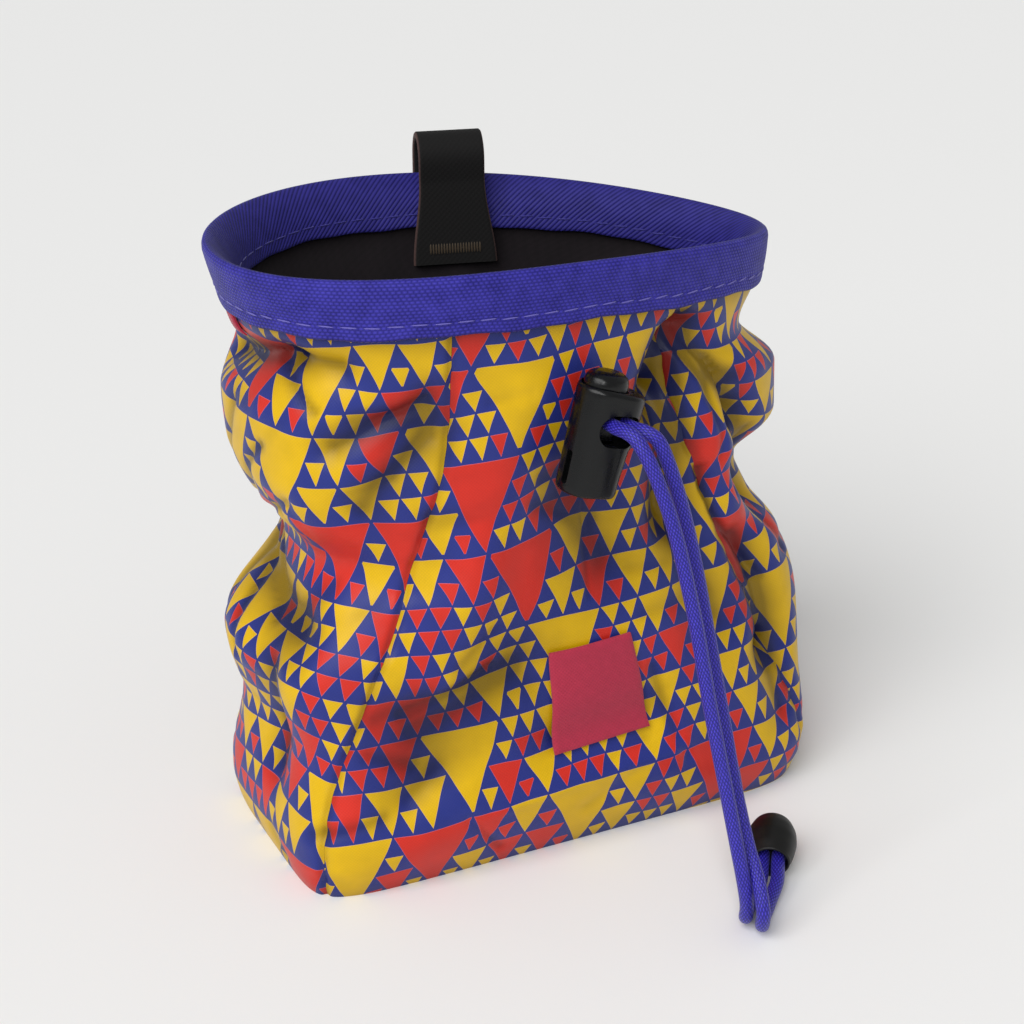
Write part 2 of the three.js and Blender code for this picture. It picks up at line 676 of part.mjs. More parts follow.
// A domed stopper that lies on the floor, with a pocket that takes both strands
function stopperGeometry() {
  const profile = [
    [0, stopperPocketDepth],
    [stopperPocketRadius, stopperPocketDepth],
    [stopperPocketRadius, 0],
    [stopperMouth, 0],
    [stopperRadius * 0.9, stopperLength * 0.2],
    [stopperRadius, stopperLength * 0.45],
    [stopperRadius * 0.96, stopperLength * 0.65],
    [stopperRadius * 0.76, stopperLength * 0.86],
    [stopperRadius * 0.42, stopperLength * 0.97],
    [0, stopperLength],
  ].map(([radius, along]) => new THREE.Vector2(radius, along));
  const heading = new THREE.Vector3(...stopperHeading).normalize();
  const turn = new THREE.Quaternion().setFromUnitVectors(new THREE.Vector3(0, 1, 0), heading);
  const geometry = new THREE.LatheGeometry(profile, 14).applyQuaternion(turn).translate(...stopperPoint);
  geometry.computeBoundingBox();
  return geometry.translate(0, 0, -geometry.boundingBox.min.z);
}

// A thin patch on the outside of a panel, its middle and size in millimetres along the cloth
function patchGeometry({ panel, middle, up, width, tall, gap, thickness, columns, rows, turn }) {
  const length = panelLines(up / height).lines[panel].length;
  const slant = THREE.MathUtils.degToRad(turn);
  const grid = (out) =>
    Array.from({ length: rows + 1 }, (_, r) =>
      Array.from({ length: columns + 1 }, (_, c) => {
        const spot = new THREE.Vector2((c / columns - 0.5) * width, (r / rows - 0.5) * tall);
        spot.rotateAround(new THREE.Vector2(), -slant);
        return wallPoint((up + spot.y) / height, panel, 0.5 + (middle + spot.x) / length, out).point;
      }),
    );
  return wallSolid(grid(gap + thickness), grid(gap), false);
}

function labelGeometry() {
  return patchGeometry({
    panel: "front_panel", middle: labelAcross, up: labelUp, width: labelWidth, tall: labelHeight,
    gap: labelGap, thickness: labelThickness, columns: 5, rows: 5, turn: labelTurn,
  });
}

function tabGeometry() {
  return patchGeometry({
    panel: "gusset_left", middle: 0, up: height - tapeOutside - layerGap - tabHeight / 2, width: tabWidth,
    tall: tabHeight, gap: layerGap, thickness: tabThickness, columns: 2, rows: 3, turn: 0,
  });
}

// Finishes
function finish(color, roughness) {
  return new THREE.MeshStandardMaterial({ color, roughness, metalness: 0 });
}

const finishes = {
  print: () => finish(0x35409a, 0.75),
  lining: () => finish(0x241a20, 0.9),
  tape: () => finish(0x4a44b0, 0.7),
  webbing: () => finish(0x151413, 0.8),
  lockPlastic: () => finish(0x1a1a1a, 0.45),
  cord: () => finish(0x3a2fc0, 0.7),
  rubber: () => finish(0x1c1b1a, 0.6),
  label: () => finish(0xb8304a, 0.75),
};

const pieces = [
  ...Object.keys(panelColumns).map((panel) => [panel, panelGeometry(panel), "print"]),
  ["base_panel", baseGeometry(), "print"],
  ["lining", liningGeometry(), "lining"],
  ["rim_binding", bindingGeometry(), "tape"],
  ["hang_loop", loopGeometry(), "webbing"],
  ["cord_lock_body", placeOnLock(lockBodyGeometry()), "lockPlastic"],
  ["cord_lock_button", placeOnLock(lockButtonGeometry()), "lockPlastic"],
  ["cord_left", cordGeometry(leftRoute), "cord"],
  ["cord_right", cordGeometry(rightRoute), "cord"],
  ["cord_stopper", stopperGeometry(), "rubber"],
  ["label_patch", labelGeometry(), "label"],
  ["side_tab", tabGeometry(), "label"],
];

const bag = new THREE.Group();
const held = new THREE.Box3();
for (const [name, geometry, finishName] of pieces) {
  const mesh = new THREE.Mesh(geometry, finishes[finishName]());
  mesh.name = name;
  bag.add(mesh);
  const isFree = name === "cord_left" || name === "cord_right" || name === "cord_stopper";
  if (!isFree) held.expandByObject(mesh);
}

// The origin is on the floor under the middle of the bag, with the free cord left out
const middle = held.getCenter(new THREE.Vector3());
bag.position.set(-middle.x, -middle.y, 0);
bag.updateMatrixWorld(true);

export default bag;
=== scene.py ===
# Climbing chalk bag: a printed fabric shell with a taped rim, a dark lining, a webbing loop,
# a spring cord lock and a two-strand drawstring. Sizes are in millimetres unless a note says otherwise.
import math

import bpy
import numpy as np
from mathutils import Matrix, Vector


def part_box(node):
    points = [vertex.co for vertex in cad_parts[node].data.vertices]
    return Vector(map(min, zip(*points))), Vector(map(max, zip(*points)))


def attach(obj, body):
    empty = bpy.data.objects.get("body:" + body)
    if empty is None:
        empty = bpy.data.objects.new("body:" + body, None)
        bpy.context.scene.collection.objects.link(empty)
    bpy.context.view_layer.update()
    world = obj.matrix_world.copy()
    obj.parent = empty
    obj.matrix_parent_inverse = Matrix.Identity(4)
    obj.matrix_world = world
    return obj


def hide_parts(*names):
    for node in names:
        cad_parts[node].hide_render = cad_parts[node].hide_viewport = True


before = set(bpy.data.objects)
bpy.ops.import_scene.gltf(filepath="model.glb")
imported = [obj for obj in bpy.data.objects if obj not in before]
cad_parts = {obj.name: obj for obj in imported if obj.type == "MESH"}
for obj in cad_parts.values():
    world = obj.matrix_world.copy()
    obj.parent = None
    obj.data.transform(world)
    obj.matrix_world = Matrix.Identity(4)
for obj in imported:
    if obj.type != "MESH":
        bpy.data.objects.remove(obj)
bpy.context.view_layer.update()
print("frame loaded with", len(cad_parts), "nodes")

mm = 0.001
pi = math.pi

# The bag's sizes, as the solids have them
bag = {
    "height": 131.7,
    "halfLength": 60.0,
    "frontDepth": 37.0,
    "backDepth": 39.0,
    "wall": 1.5,
    "baseTuck": 2.6,  # how far the walls run in under the bag at the floor
    "tuckHeight": 11.0,
    "layerGap": 0.3,
    "rimDropRight": 4.0,
    "rimDropBack": 1.3,
    "rimSag": 2.0,
    "rimNarrowing": 0.267,
    "rimTwist": -4.0,  # degrees
    "foldWidth": 6.0,
    "foldDepth": 3.4,
}
tape = {
    "thickness": 1.0,
    "outside": 12.0,
    "inside": 11.0,
    "ripple": 0.22,  # how far the lower edge wanders
    "dimple": 0.16,  # how deep each stitch pulls
    "stitchUp": 2.9,  # from the lower edge to the stitches
    "stitchPitch": 4.5,
    "swell": 0.12,
}
tall = bag["height"]

# Sections from the floor to the rim, as shares of the bag's sizes
sectionNames = (
    "share", "left", "right", "front", "back", "frontCorner", "backCorner", "seam", "rimShape",
)
sectionRows = (
    (0, 1.06, 1.03, 1.035, 0.76, 8, 3.9, 1, 0),
    (0.1, 1.045, 1.05, 1.065, 0.76, 7, 3.8, 0.985, 0),
    (0.22, 0.99, 1.06, 1.05, 0.76, 5, 3.6, 0.9, 0),
    (0.35, 1.06, 1.08, 1, 0.78, 4, 3.3, 0.78, 0.05),
    (0.45, 0.94, 1.04, 0.975, 0.79, 3.3, 3, 0.67, 0.12),
    (0.53, 0.84, 0.92, 0.955, 0.8, 2.9, 2.8, 0.6, 0.2),
    (0.6, 0.95, 0.87, 0.95, 0.83, 2.7, 2.6, 0.55, 0.32),
    (0.68, 1.02, 1.04, 0.95, 0.86, 2.6, 2.5, 0.49, 0.45),
    (0.76, 1.03, 1.04, 0.96, 0.9, 2.5, 2.4, 0.455, 0.6),
    (0.84, 0.97, 0.88, 0.97, 0.93, 2.35, 2.25, 0.445, 0.75),
    (0.92, 1.01, 0.955, 0.99, 0.97, 2.25, 2.1, 0.44, 0.9),
    (1, 1.058, 0.98, 1.01, 1.01, 2.13, 1.95, 0.443, 1),
)

# Dents and folds from one point of the cloth to another; a negative deep is a dent
foldNames = ("roundA", "upA", "roundB", "upB", "wide", "deep")
foldRows = (
    (-0.31, 0.815, -0.21, 0.87, 0.67, -1.07), (-0.21, 0.87, -0.17, 0.86, 0.67, -0.6),
    (-0.165, 0.735, -0.11, 0.8, 0.75, -0.87), (-0.154, 0.635, -0.103, 0.747, 0.92, -0.8),
    (-0.2, 0.6, -0.15, 0.7, 1.5, 0.5), (-0.31, 0.47, -0.2, 0.42, 1, -1),
    (-0.22, 0.354, -0.235, 0.16, 0.75, -0.73), (-0.26, 0.36, -0.28, 0.2, 1, 0.4),
    (-0.036, 0.79, -0.081, 0.5, 1.33, 0.53), (-0.081, 0.5, -0.091, 0.343, 1.33, 0.47),
    (-0.01, 0.62, 0.02, 0.5, 1.83, -0.73), (-0.112, 0.27, -0.045, 0.345, 1.67, -0.8),
    (-0.118, 0.165, -0.1, 0.2, 1, -0.53), (-0.106, 0.115, 0.054, 0.145, 1.17, 0.6),
    (-0.019, 0.215, 0.04, 0.225, 1, -0.47), (0.09, 0.9, 0.066, 0.76, 0.92, -1.5),
    (0.066, 0.76, 0.085, 0.55, 1.08, -1.33), (0.085, 0.55, 0.1, 0.36, 1.17, -0.67),
    (0.115, 0.69, 0.145, 0.53, 0.92, 0.67), (0.1, 0.86, 0.135, 0.7, 0.75, -0.83),
    (0.135, 0.7, 0.19, 0.53, 0.75, -1), (0.141, 0.478, 0.147, 0.275, 0.83, -1.07),
    (0.147, 0.275, 0.152, 0.16, 0.75, -0.6), (0.06, 0.1, 0.1, 0.09, 1.17, 0.33),
    (0.3, 0.75, 0.4, 0.6, 1.33, -0.8), (0.27, 0.45, 0.33, 0.3, 1.17, -0.87),
    (0.42, 0.35, 0.47, 0.6, 1.5, -0.67), (-0.38, 0.72, -0.44, 0.5, 1.33, -0.8),
    (-0.36, 0.35, -0.42, 0.22, 1.33, -0.73), (0.24, 0.8, 0.3, 0.86, 0.83, -0.73),
)

sections = dict(zip(sectionNames, np.array(sectionRows).T))
folds = dict(zip(foldNames, np.array(foldRows).T))


def ease(value):
    t = np.clip(value, 0, 1)
    return t * t * (3 - 2 * t)


def unit(ways):
    return ways / np.linalg.norm(ways, axis=-1, keepdims=True)


def runOf(points):
    # the length along a line up to each of its points
    return np.concatenate([[0], np.cumsum(np.linalg.norm(np.diff(points, axis=0), axis=1))])


def pick(spots, along, points):
    # points at the given lengths along a line
    return np.column_stack([np.interp(spots, along, column) for column in points.T])


def columnTangents(x, y):
    # slopes of a smooth curve that never swings past its rows
    slope = np.diff(y) / np.diff(x)
    tangent = np.zeros(len(y))
    tangent[[0, -1]] = slope[[0, -1]]
    for i in range(1, len(slope)):
        if slope[i - 1] * slope[i] > 0:
            before = x[i] - x[i - 1]
            after = x[i + 1] - x[i]
            pull = (2 * after + before) / slope[i - 1] + (after + 2 * before) / slope[i]
            tangent[i] = 3 * (before + after) / pull
    return tangent


tangents = {name: columnTangents(sections["share"], sections[name]) for name in sectionNames[1:]}


def sectionAt(share):
    x = sections["share"]
    i = int(np.clip(np.searchsorted(x, share, side="right") - 1, 0, len(x) - 2))
    span = x[i + 1] - x[i]
    t = min(max((share - x[i]) / span, 0), 1)
    found = {}
    for name, slopes in tangents.items():
        y = sections[name]
        bendA = t * (1 - t) ** 2 * span * slopes[i]
        bendB = t * t * (1 - t) * span * slopes[i + 1]
        found[name] = y[i] + (y[i + 1] - y[i]) * ease(t) + bendA - bendB
    return found


def planPoints(section, angle):
    # the outer face of a section seen from above, before its folds
    c, s = np.cos(angle), np.sin(angle)
    corner = np.where(s > 0, section["backCorner"], section["frontCorner"])
    reach = (np.abs(c) ** corner + np.abs(s) ** corner) ** (-1 / corner)
    x = np.where(c > 0, section["right"], section["left"]) * bag["halfLength"] * c * reach
    depth = np.where(s > 0, section["back"] * bag["backDepth"], section["front"] * bag["frontDepth"])
    narrow = 1 - bag["rimNarrowing"] * section["rimShape"] * x / bag["halfLength"]
    y = depth * s * reach * narrow
    turn = math.radians(bag["rimTwist"] * section["rimShape"])
    turned = (x * math.cos(turn) - y * math.sin(turn), x * math.sin(turn) + y * math.cos(turn))
    return np.stack(turned, axis=-1)


def seamAngle(section, width, corner):
    share = min(section["seam"] / section[width], 0.985)
    return math.atan((share ** -section[corner] - 1) ** (1 / section[corner]))


def panelAngles(section):
    rightBack, rightFront, leftBack, leftFront = [
        seamAngle(section, side, corner)
        for side in ("right", "left") for corner in ("backCorner", "frontCorner")
    ]
    return {
        "gusset_right": (-rightFront, rightBack),
        "back_panel": (rightBack, pi - leftBack),
        "gusset_left": (pi - leftBack, pi + leftFront),
        "front_panel": (pi + leftFront, 2 * pi - rightFront),
    }


panelCache = {}


def panelLines(share):
    # one section's panels as fine lines, with the length along each
    if share in panelCache:
        return panelCache[share]
    section = sectionAt(share)
    lines = {}
    for panel, (first, last) in panelAngles(section).items():
        angles = np.linspace(first, last, 321)
        points = planPoints(section, angles)
        along = runOf(points)
        lines[panel] = {"angles": angles, "points": points, "along": along, "length": along[-1]}
    front = lines["front_panel"]
    front["start"] = -np.interp(0, front["points"][:, 0], front["along"])
    lines["gusset_right"]["start"] = front["start"] + front["length"]
    lines["back_panel"]["start"] = lines["gusset_right"]["start"] + lines["gusset_right"]["length"]
    lines["gusset_left"]["start"] = front["start"] - lines["gusset_left"]["length"]
    panelCache[share] = (section, lines, sum(line["length"] for line in lines.values()))
    return panelCache[share]


rimGirth = panelLines(1.0)[2]


def creasesAt(lines, turns, share, widen=1.0):
    # the push of a table of folds at places round the bag, laps included
    spots = np.stack([turns * rimGirth, np.full(len(turns), share * tall)], axis=-1)
    starts = np.stack([lines["roundA"] * rimGirth, lines["upA"] * tall], axis=-1)
    ways = np.stack([lines["roundB"] * rimGirth, lines["upB"] * tall], axis=-1) - starts
    lengths = np.sum(ways * ways, axis=1)
    wide = (lines["wide"] * bag["foldWidth"] * widen)[:, None]
    push = np.zeros(len(turns))
    for lap in (-rimGirth, 0.0, rimGirth):
        offset = (spots + np.array([lap, 0.0]))[None, :, :] - starts[:, None, :]
        t = np.clip(np.einsum("fnk,fk->fn", offset, ways) / lengths[:, None], 0, 1)
        away = np.linalg.norm(offset - t[:, :, None] * ways[:, None, :], axis=2)
        push += np.sum(lines["deep"][:, None] * bag["foldDepth"] * np.exp(-((away / wide) ** 2)), axis=0)
    return push


def foldsAt(turns, share, widen=1.0):
    # the main folds, faded out at the floor and under the tape
    hemShare = 1 - (tape["outside"] + 0.5) / tall
    fade = ease((hemShare - share) * tall / 6) * ease(share * tall / (bag["tuckHeight"] / 2))
    return creasesAt(folds, turns, share, widen) * fade


def rimHeight(point, angle):
    drop = bag["rimDropRight"] * point[:, 0] / bag["halfLength"]
    drop = drop + bag["rimDropBack"] * point[:, 1] / bag["backDepth"]
    return tall - drop - bag["rimSag"] * np.cos(2 * angle)


def wallRow(share, panel, across, out=0.0, rise=0.0, trim=0.0, widen=1.0):
    # points at one height of a panel, with the way out of the cloth and the way along it
    level = min(share, 1.0)
    section, lines, girth = panelLines(level)
    line = lines[panel]
    spot = trim + (line["length"] - 2 * trim) * across
    angle = np.interp(spot, line["along"], line["angles"])
    point = planPoints(section, angle)
    along = unit(planPoints(section, angle + 0.001) - planPoints(section, angle - 0.001))
    outward = np.stack([along[:, 1], -along[:, 0]], axis=1)
    turns = (line["start"] + spot) / girth
    tuck = bag["baseTuck"] * max(1 - level * tall / bag["tuckHeight"], 0) ** 2
    push = foldsAt(turns, level, widen)
    if widen > 1:
        push = np.minimum(push, 0)
    z = share * rimHeight(point, angle) + rise
    point = point + outward * (push - tuck + out)[:, None]
    flat = np.zeros(len(z))
    return {
        "point": np.column_stack([point, z]),
        "outward": np.column_stack([outward, flat]),
        "along": np.column_stack([along, flat]),
        "turns": turns,
        "spot": spot,
        "length": line["length"],
    }


def ringRow(share, counts, out=0.0, widen=1.0):
    # the same all the way round, with the length round the ring
    rows = [
        wallRow(share, name, np.arange(count) / count, out, widen=widen) for name, count in counts.items()
    ]
    keys = ("point", "outward", "along", "turns")
    whole = {key: np.concatenate([row[key] for row in rows]) for key in keys}
    lengths = np.cumsum([0] + [row["length"] for row in rows])
    runs = [row["spot"] + start for row, start in zip(rows, lengths)]
    whole["round"] = np.concatenate(runs + [lengths[-1:]])
    return whole


# The frame's origin lies under the middle of the solids' box: the base panel shows the shift
ringCounts = {"gusset_right": 15, "back_panel": 9, "gusset_left": 15, "front_panel": 11}
baseRing = ringRow(0.0, ringCounts, -(bag["wall"] + bag["layerGap"]))["point"]
baseBox = np.array([list(corner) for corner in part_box("base_panel")]) / mm
shift = baseBox.mean(axis=0) - (baseRing.min(axis=0) + baseRing.max(axis=0)) / 2
shift[2] = 0
print("bag placed, shift in mm:", np.round(shift, 3))


def toFrame(points):
    return (np.asarray(points, float) + shift) * mm


# Meshes and objects
def addObject(name, data):
    made = bpy.data.objects.new(name, data)
    bpy.context.scene.collection.objects.link(made)
    return made


def dress(made, node=None, body="bag"):
    # the piece in the frame: hides the solid that it stands for, and hangs the piece on its body
    if node:
        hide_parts(node)
    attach(made, body)
    return made


def plainMesh(made):
    # applies the modifiers and leaves one plain mesh
    old = made.data
    mesh = bpy.data.meshes.new_from_object(made.evaluated_get(bpy.context.evaluated_depsgraph_get()))
    made.modifiers.clear()
    made.data = mesh
    bpy.data.meshes.remove(old)
    mesh.name = made.name
    return mesh


def shadeSmooth(mesh, sharp):
    mesh.polygons.foreach_set("use_smooth", np.ones(len(mesh.polygons), dtype=bool))
    mesh.set_sharp_from_angle(angle=math.radians(sharp))


def pointValues(mesh, name, values):
    layer = mesh.attributes.new(name, "FLOAT", "POINT")
    layer.data.foreach_set("value", np.asarray(values, np.float32))


def gridFaces(rows, columns, isRing, isLoop=False):
    # corners of a grid's faces, as numbers of its points and of its places on the cloth
    counts = np.arange(rows - 1 + isLoop), np.arange(columns - 1 + isRing)
    r, c = [part.ravel() for part in np.meshgrid(*counts, indexing="ij")]
    corners = ((r, c), (r, c + 1), (r + 1, c + 1), (r + 1, c))
    faces = np.stack([a % rows * columns + b % columns for a, b in corners], axis=1)
    return faces, np.stack([a * (columns + isRing) + b for a, b in corners], axis=1)


def fanFaces(hub, start, count, isTurned):
    # triangles that close a ring of points round a hub
    ring = np.arange(count)
    ends = [ring + start, (ring + 1) % count + start]
    return np.stack([np.full(count, hub)] + (ends[::-1] if isTurned else ends), axis=1)


def finishMesh(name, points, faces, cloth, material, sharp):
    # faces and cloth are lists of arrays, one row for each face; the mesh is turned to face out
    volume = 0.0
    for group in faces:
        for i in range(1, group.shape[1] - 1):
            a, b, c = [points[group[:, k]] for k in (0, i, i + 1)]
            volume += np.einsum("ij,ij->", a, np.cross(b, c))
    if volume < 0:
        faces = [group[:, ::-1] for group in faces]
        cloth = [group[:, ::-1] for group in cloth]
    mesh = bpy.data.meshes.new(name)
    mesh.from_pydata(toFrame(points).tolist(), [], [face for group in faces for face in group.tolist()])
    layer = mesh.uv_layers.new(name="cloth")
    spots = np.concatenate([group.reshape(-1, 2) for group in cloth])
    layer.data.foreach_set("uv", spots.astype(np.float32).ravel())
    shadeSmooth(mesh, sharp)
    mesh.materials.append(material)
    return addObject(name, mesh)


def wallObject(name, outer, inner, clothAt, material, isRing=False):
    # a wall between two grids of points, closed at its edges or with a floor in its lowest row
    outer, inner = np.array(outer), np.array(inner)
    rows, columns = outer.shape[:2]
    count = rows * columns
    flat = np.array(clothAt).reshape(-1, 2)
    wide = columns + isRing
    outFaces, outCloth = gridFaces(rows, columns, isRing)
    faces = [outFaces, (outFaces + count)[:, ::-1]]
    cloth = [flat[outCloth], flat[outCloth][:, ::-1]]
    top, up = np.arange(wide), np.arange(rows)
    borders = [(np.full(wide, rows - 1), top)]
    if not isRing:
        borders.append((np.zeros(wide, int), top[::-1]))
        borders.append((up[::-1], np.full(rows, columns - 1)))
        borders.append((up, np.zeros(rows, int)))
    for r, c in borders:
        edge = r * columns + c % columns
        spots = flat[r * wide + c]
        faces.append(np.stack([edge[:-1], edge[1:], edge[1:] + count, edge[:-1] + count], axis=1))
        cloth.append(np.stack([spots[:-1], spots[1:], spots[1:], spots[:-1]], axis=1))
    points = [outer.reshape(-1, 3), inner.reshape(-1, 3)]
    if isRing:
        for side, grid in enumerate((outer, inner)):
            points.append(grid[0].mean(axis=0)[None, :])
            faces.append(fanFaces(2 * count + side, side * count, columns, side == 0))
            cloth.append(np.zeros((columns, 3, 2)))
    return finishMesh(name, np.concatenate(points), faces, cloth, material, 45)


def tubeObject(name, rings, material, sharp, clothAt=None, isLoop=False):
    # rings of points along a path, closed into a loop or by a fan at each end
    rings = np.array(rings)
    places, corners = rings.shape[:2]
    flat = np.zeros((places * (corners + 1), 2)) if clothAt is None else np.array(clothAt).reshape(-1, 2)
    points = rings.reshape(-1, 3)
    faces, cloth = [part[:, [0, 3, 2, 1]] for part in gridFaces(places, corners, True, isLoop)]
    faces, cloth = [faces], [flat[cloth]]
    if not isLoop:
        for row in (0, places - 1):
            faces.append(fanFaces(len(points), row * corners, corners, row > 0))
            points = np.concatenate([points, rings[row].mean(axis=0)[None, :]])
            cloth.append(np.broadcast_to(flat[row * (corners + 1)], (corners, 3, 2)))
    return finishMesh(name, points, faces, cloth, material, sharp)


# Materials
def linear(hexColour):
    channels = [int(hexColour[i:i + 2], 16) / 255 for i in (1, 3, 5)]
    return [c / 12.92 if c <= 0.04045 else ((c + 0.055) / 1.055) ** 2.4 for c in channels] + [1.0]


def setInput(tree, node, key, value):
    # a plain value, or a link from a socket or from a node's first live output
    if isinstance(value, bpy.types.Node):
        value = next(socket for socket in value.outputs if socket.enabled)
    if isinstance(value, bpy.types.NodeSocket):
        tree.links.new(value, node.inputs[key])
    else:
        node.inputs[key].default_value = value


def addNode(tree, kind, inputs=(), **settings):
    # adds a node, sets its settings and then its inputs, in their order or by their names
    node = tree.nodes.new(kind if "Node" in kind else "ShaderNode" + kind)
    for key, value in settings.items():
        setattr(node, key, value)
    for key, value in inputs.items() if isinstance(inputs, dict) else enumerate(inputs):
        setInput(tree, node, key, value)
    return node


def newMaterial(name, **inputs):
    material = bpy.data.materials.new(name)
    material.use_nodes = True
    tree = material.node_tree
    shader = tree.nodes["Principled BSDF"]
    for key, value in inputs.items():
        setInput(tree, shader, key.replace("_", " "), value)
    return material, tree, shader


def finishShader(tree, shader, colour, height, strength, depth):
    # the colour, and the relief as a bump of a depth in mm
    setInput(tree, shader, "Base Color", colour)
    bump = addNode(tree, "Bump", {"Strength": strength, "Distance": depth * mm, "Height": height})
    setInput(tree, shader, "Normal", bump)


def weaveOf(tree, places, pitch):
    # a plain weave's height from 0 to 1, over and under at the given thread pitch in mm
    waves = addNode(tree, "VectorMath", {0: places, "Scale": pi / pitch}, operation="SCALE")
    apart = addNode(tree, "SeparateXYZ", [waves])
    threads = [addNode(tree, "Math", [way], operation="SINE") for way in apart.outputs[:2]]
    cross = addNode(tree, "Math", threads, operation="MULTIPLY")
    return addNode(tree, "Math", [cross, 0.5, 0.5], operation="MULTIPLY_ADD")


printCloth = {
    "width": 4.35,  # side of the smallest triangle
    "rise": 5.05,  # its height
    "gap": 0.17,  # blue at each side of a triangle
    "outline": 0.12,  # paler line round it
    "levels": ((0, 0.99, 0.44), (1, 0.66, 0.25), (2, 0.47, 0.3)),  # doublings, how many, share of red
    "wander": (0.045, 3.2),  # how often and how far the lattice wanders
    "wobble": (0.13, 0.8),  # how often and how far the edges bulge
    "thread": 0.36,  # coarser than real thread, which is too fine to show
    "blue": "#232F7E",
    "yellow": "#D9AE00",
    "red": "#CC2A1C",
    "pale": "#B9A6C8",
}


def printedPolyester(name, isFlat=False):
    # Woven polyester, screen printed: flat ink colours with a soft sheen on every bulge
    material, tree, shader = newMaterial(
        name, Roughness=0.44, Specular_IOR_Level=0.3, Sheen_Weight=0.04, Sheen_Roughness=0.4,
    )
    if isFlat:
        places = addNode(tree, "TexCoord").outputs["Object"]
        places = addNode(tree, "VectorMath", [places, (1000, 1000, 0)], operation="MULTIPLY")
    else:
        places = addNode(tree, "UVMap", uv_map="cloth")
    moved = places
    for scale, reach in (printCloth["wander"], printCloth["wobble"]):
        noise = addNode(tree, "TexNoise", {"Vector": places, "Scale": scale, "Detail": 0.0})
        push = addNode(tree, "VectorMath", [noise.outputs["Color"], (0.5, 0.5, 0.5)], operation="SUBTRACT")
        moved = addNode(tree, "VectorMath", [push, (reach,) * 3, moved], operation="MULTIPLY_ADD")
    split = addNode(tree, "SeparateXYZ", [moved])
    rowUp = addNode(tree, "Math", [split.outputs[1], printCloth["rise"]], operation="DIVIDE")
    slant = addNode(tree, "Math", [rowUp, -0.5], operation="MULTIPLY")
    column = addNode(tree, "Math", [split, 1 / printCloth["width"], slant], operation="MULTIPLY_ADD")
    lattice = addNode(tree, "CombineXYZ", [column, rowUp])
    blue, yellow, red, pale = [linear(printCloth[name]) for name in ("blue", "yellow", "red", "pale")]
    colour = blue
    for doublings, share, redShare in printCloth["levels"]:
        size = 2.0 ** doublings
        cells = addNode(tree, "VectorMath", {0: lattice, "Scale": 1 / size}, operation="SCALE")
        cell = addNode(tree, "VectorMath", [cells], operation="FLOOR")
        part = addNode(tree, "VectorMath", [cells, cell], operation="SUBTRACT")
        chance = addNode(
            tree, "TexWhiteNoise", {"Vector": cell, "W": 3.7 + 1.9 * doublings}, noise_dimensions="4D",
        )
        dice = addNode(tree, "SeparateColor", [chance.outputs["Color"]])
        x, y = addNode(tree, "SeparateXYZ", [part]).outputs[:2]
        both = addNode(tree, "Math", [x, y], operation="ADD")
        awayTop = addNode(tree, "Math", [1.0, y], operation="SUBTRACT")
        awayLeft = addNode(tree, "Math", [1.0, x], operation="SUBTRACT")
        awayRight = addNode(tree, "Math", [both, 1.0], operation="SUBTRACT")
        near, far = awayTop, awayTop
        for away in (awayLeft, awayRight):
            near = addNode(tree, "Math", [near, away], operation="MINIMUM")
            far = addNode(tree, "Math", [far, away], operation="MAXIMUM")
        rise = printCloth["rise"] * size
        margin = printCloth["gap"] / rise
        edge = addNode(
            tree, "Math", [dice.outputs[2], 0.7 * margin, 0.65 * margin], operation="MULTIPLY_ADD",
        )
        blunt = addNode(tree, "Math", [dice.outputs[2], 9.0], operation="POWER")
        reach = addNode(tree, "Math", [blunt, -0.25 / size, 0.98], operation="MULTIPLY_ADD")
        inside = addNode(tree, "Math", [near, edge], operation="GREATER_THAN")
        kept = addNode(tree, "Math", [far, reach], operation="LESS_THAN")
        mask = addNode(tree, "Math", [inside, kept], operation="MULTIPLY")
        isDown = addNode(tree, "Math", [awayRight, 0.0], operation="GREATER_THAN")
        isChosen = addNode(tree, "Math", [chance, share], operation="LESS_THAN")
        taken = addNode(tree, "Math", [isDown, isChosen], operation="MULTIPLY")
        region = addNode(tree, "TexNoise", {"Vector": cell, "Scale": 0.21 * size, "Detail": 0.0})
        mood = addNode(tree, "Math", [region, 1.5, dice.outputs[1]], operation="MULTIPLY_ADD")
        isRed = addNode(tree, "Math", [mood, 1.75 - redShare], operation="GREATER_THAN")
        depth = addNode(tree, "Math", [near, edge], operation="SUBTRACT")
        isLine = addNode(tree, "Math", [depth, printCloth["outline"] / rise], operation="LESS_THAN")
        faint = addNode(tree, "Math", [isLine, 0.2], operation="MULTIPLY")
        ink = addNode(tree, "Mix", {0: isRed, 6: yellow, 7: red}, data_type="RGBA")
        ink = addNode(tree, "Mix", {0: faint, 6: ink, 7: pale}, data_type="RGBA")
        ink = addNode(tree, "Mix", {0: mask, 6: blue, 7: ink}, data_type="RGBA")
        colour = addNode(tree, "Mix", {0: taken, 6: colour, 7: ink}, data_type="RGBA")
    threads = weaveOf(tree, places, printCloth["thread"])
    shade = addNode(tree, "TexNoise", {"Vector": places, "Scale": 0.16, "Detail": 3.0})
    tone = addNode(tree, "MapRange", [shade, 0.3, 0.7, 0.93, 1.04])
    grain = addNode(tree, "MapRange", [threads, 0.0, 1.0, 0.93, 1.03])
    toned = addNode(tree, "Math", [tone, grain], operation="MULTIPLY")
    if not isFlat:
        # the print darkened by the painted shade in each panel's dents, creases, seams and edges
        paintedShade = addNode(tree, "Attribute", attribute_name="shade").outputs["Fac"]
        toned = addNode(tree, "Math", [toned, paintedShade], operation="MULTIPLY")
    final = addNode(tree, "Mix", {0: 1.0, 6: colour, 7: toned}, data_type="RGBA", blend_type="MULTIPLY")
    finishShader(tree, shader, final, threads, 0.25, 0.06)
    return material


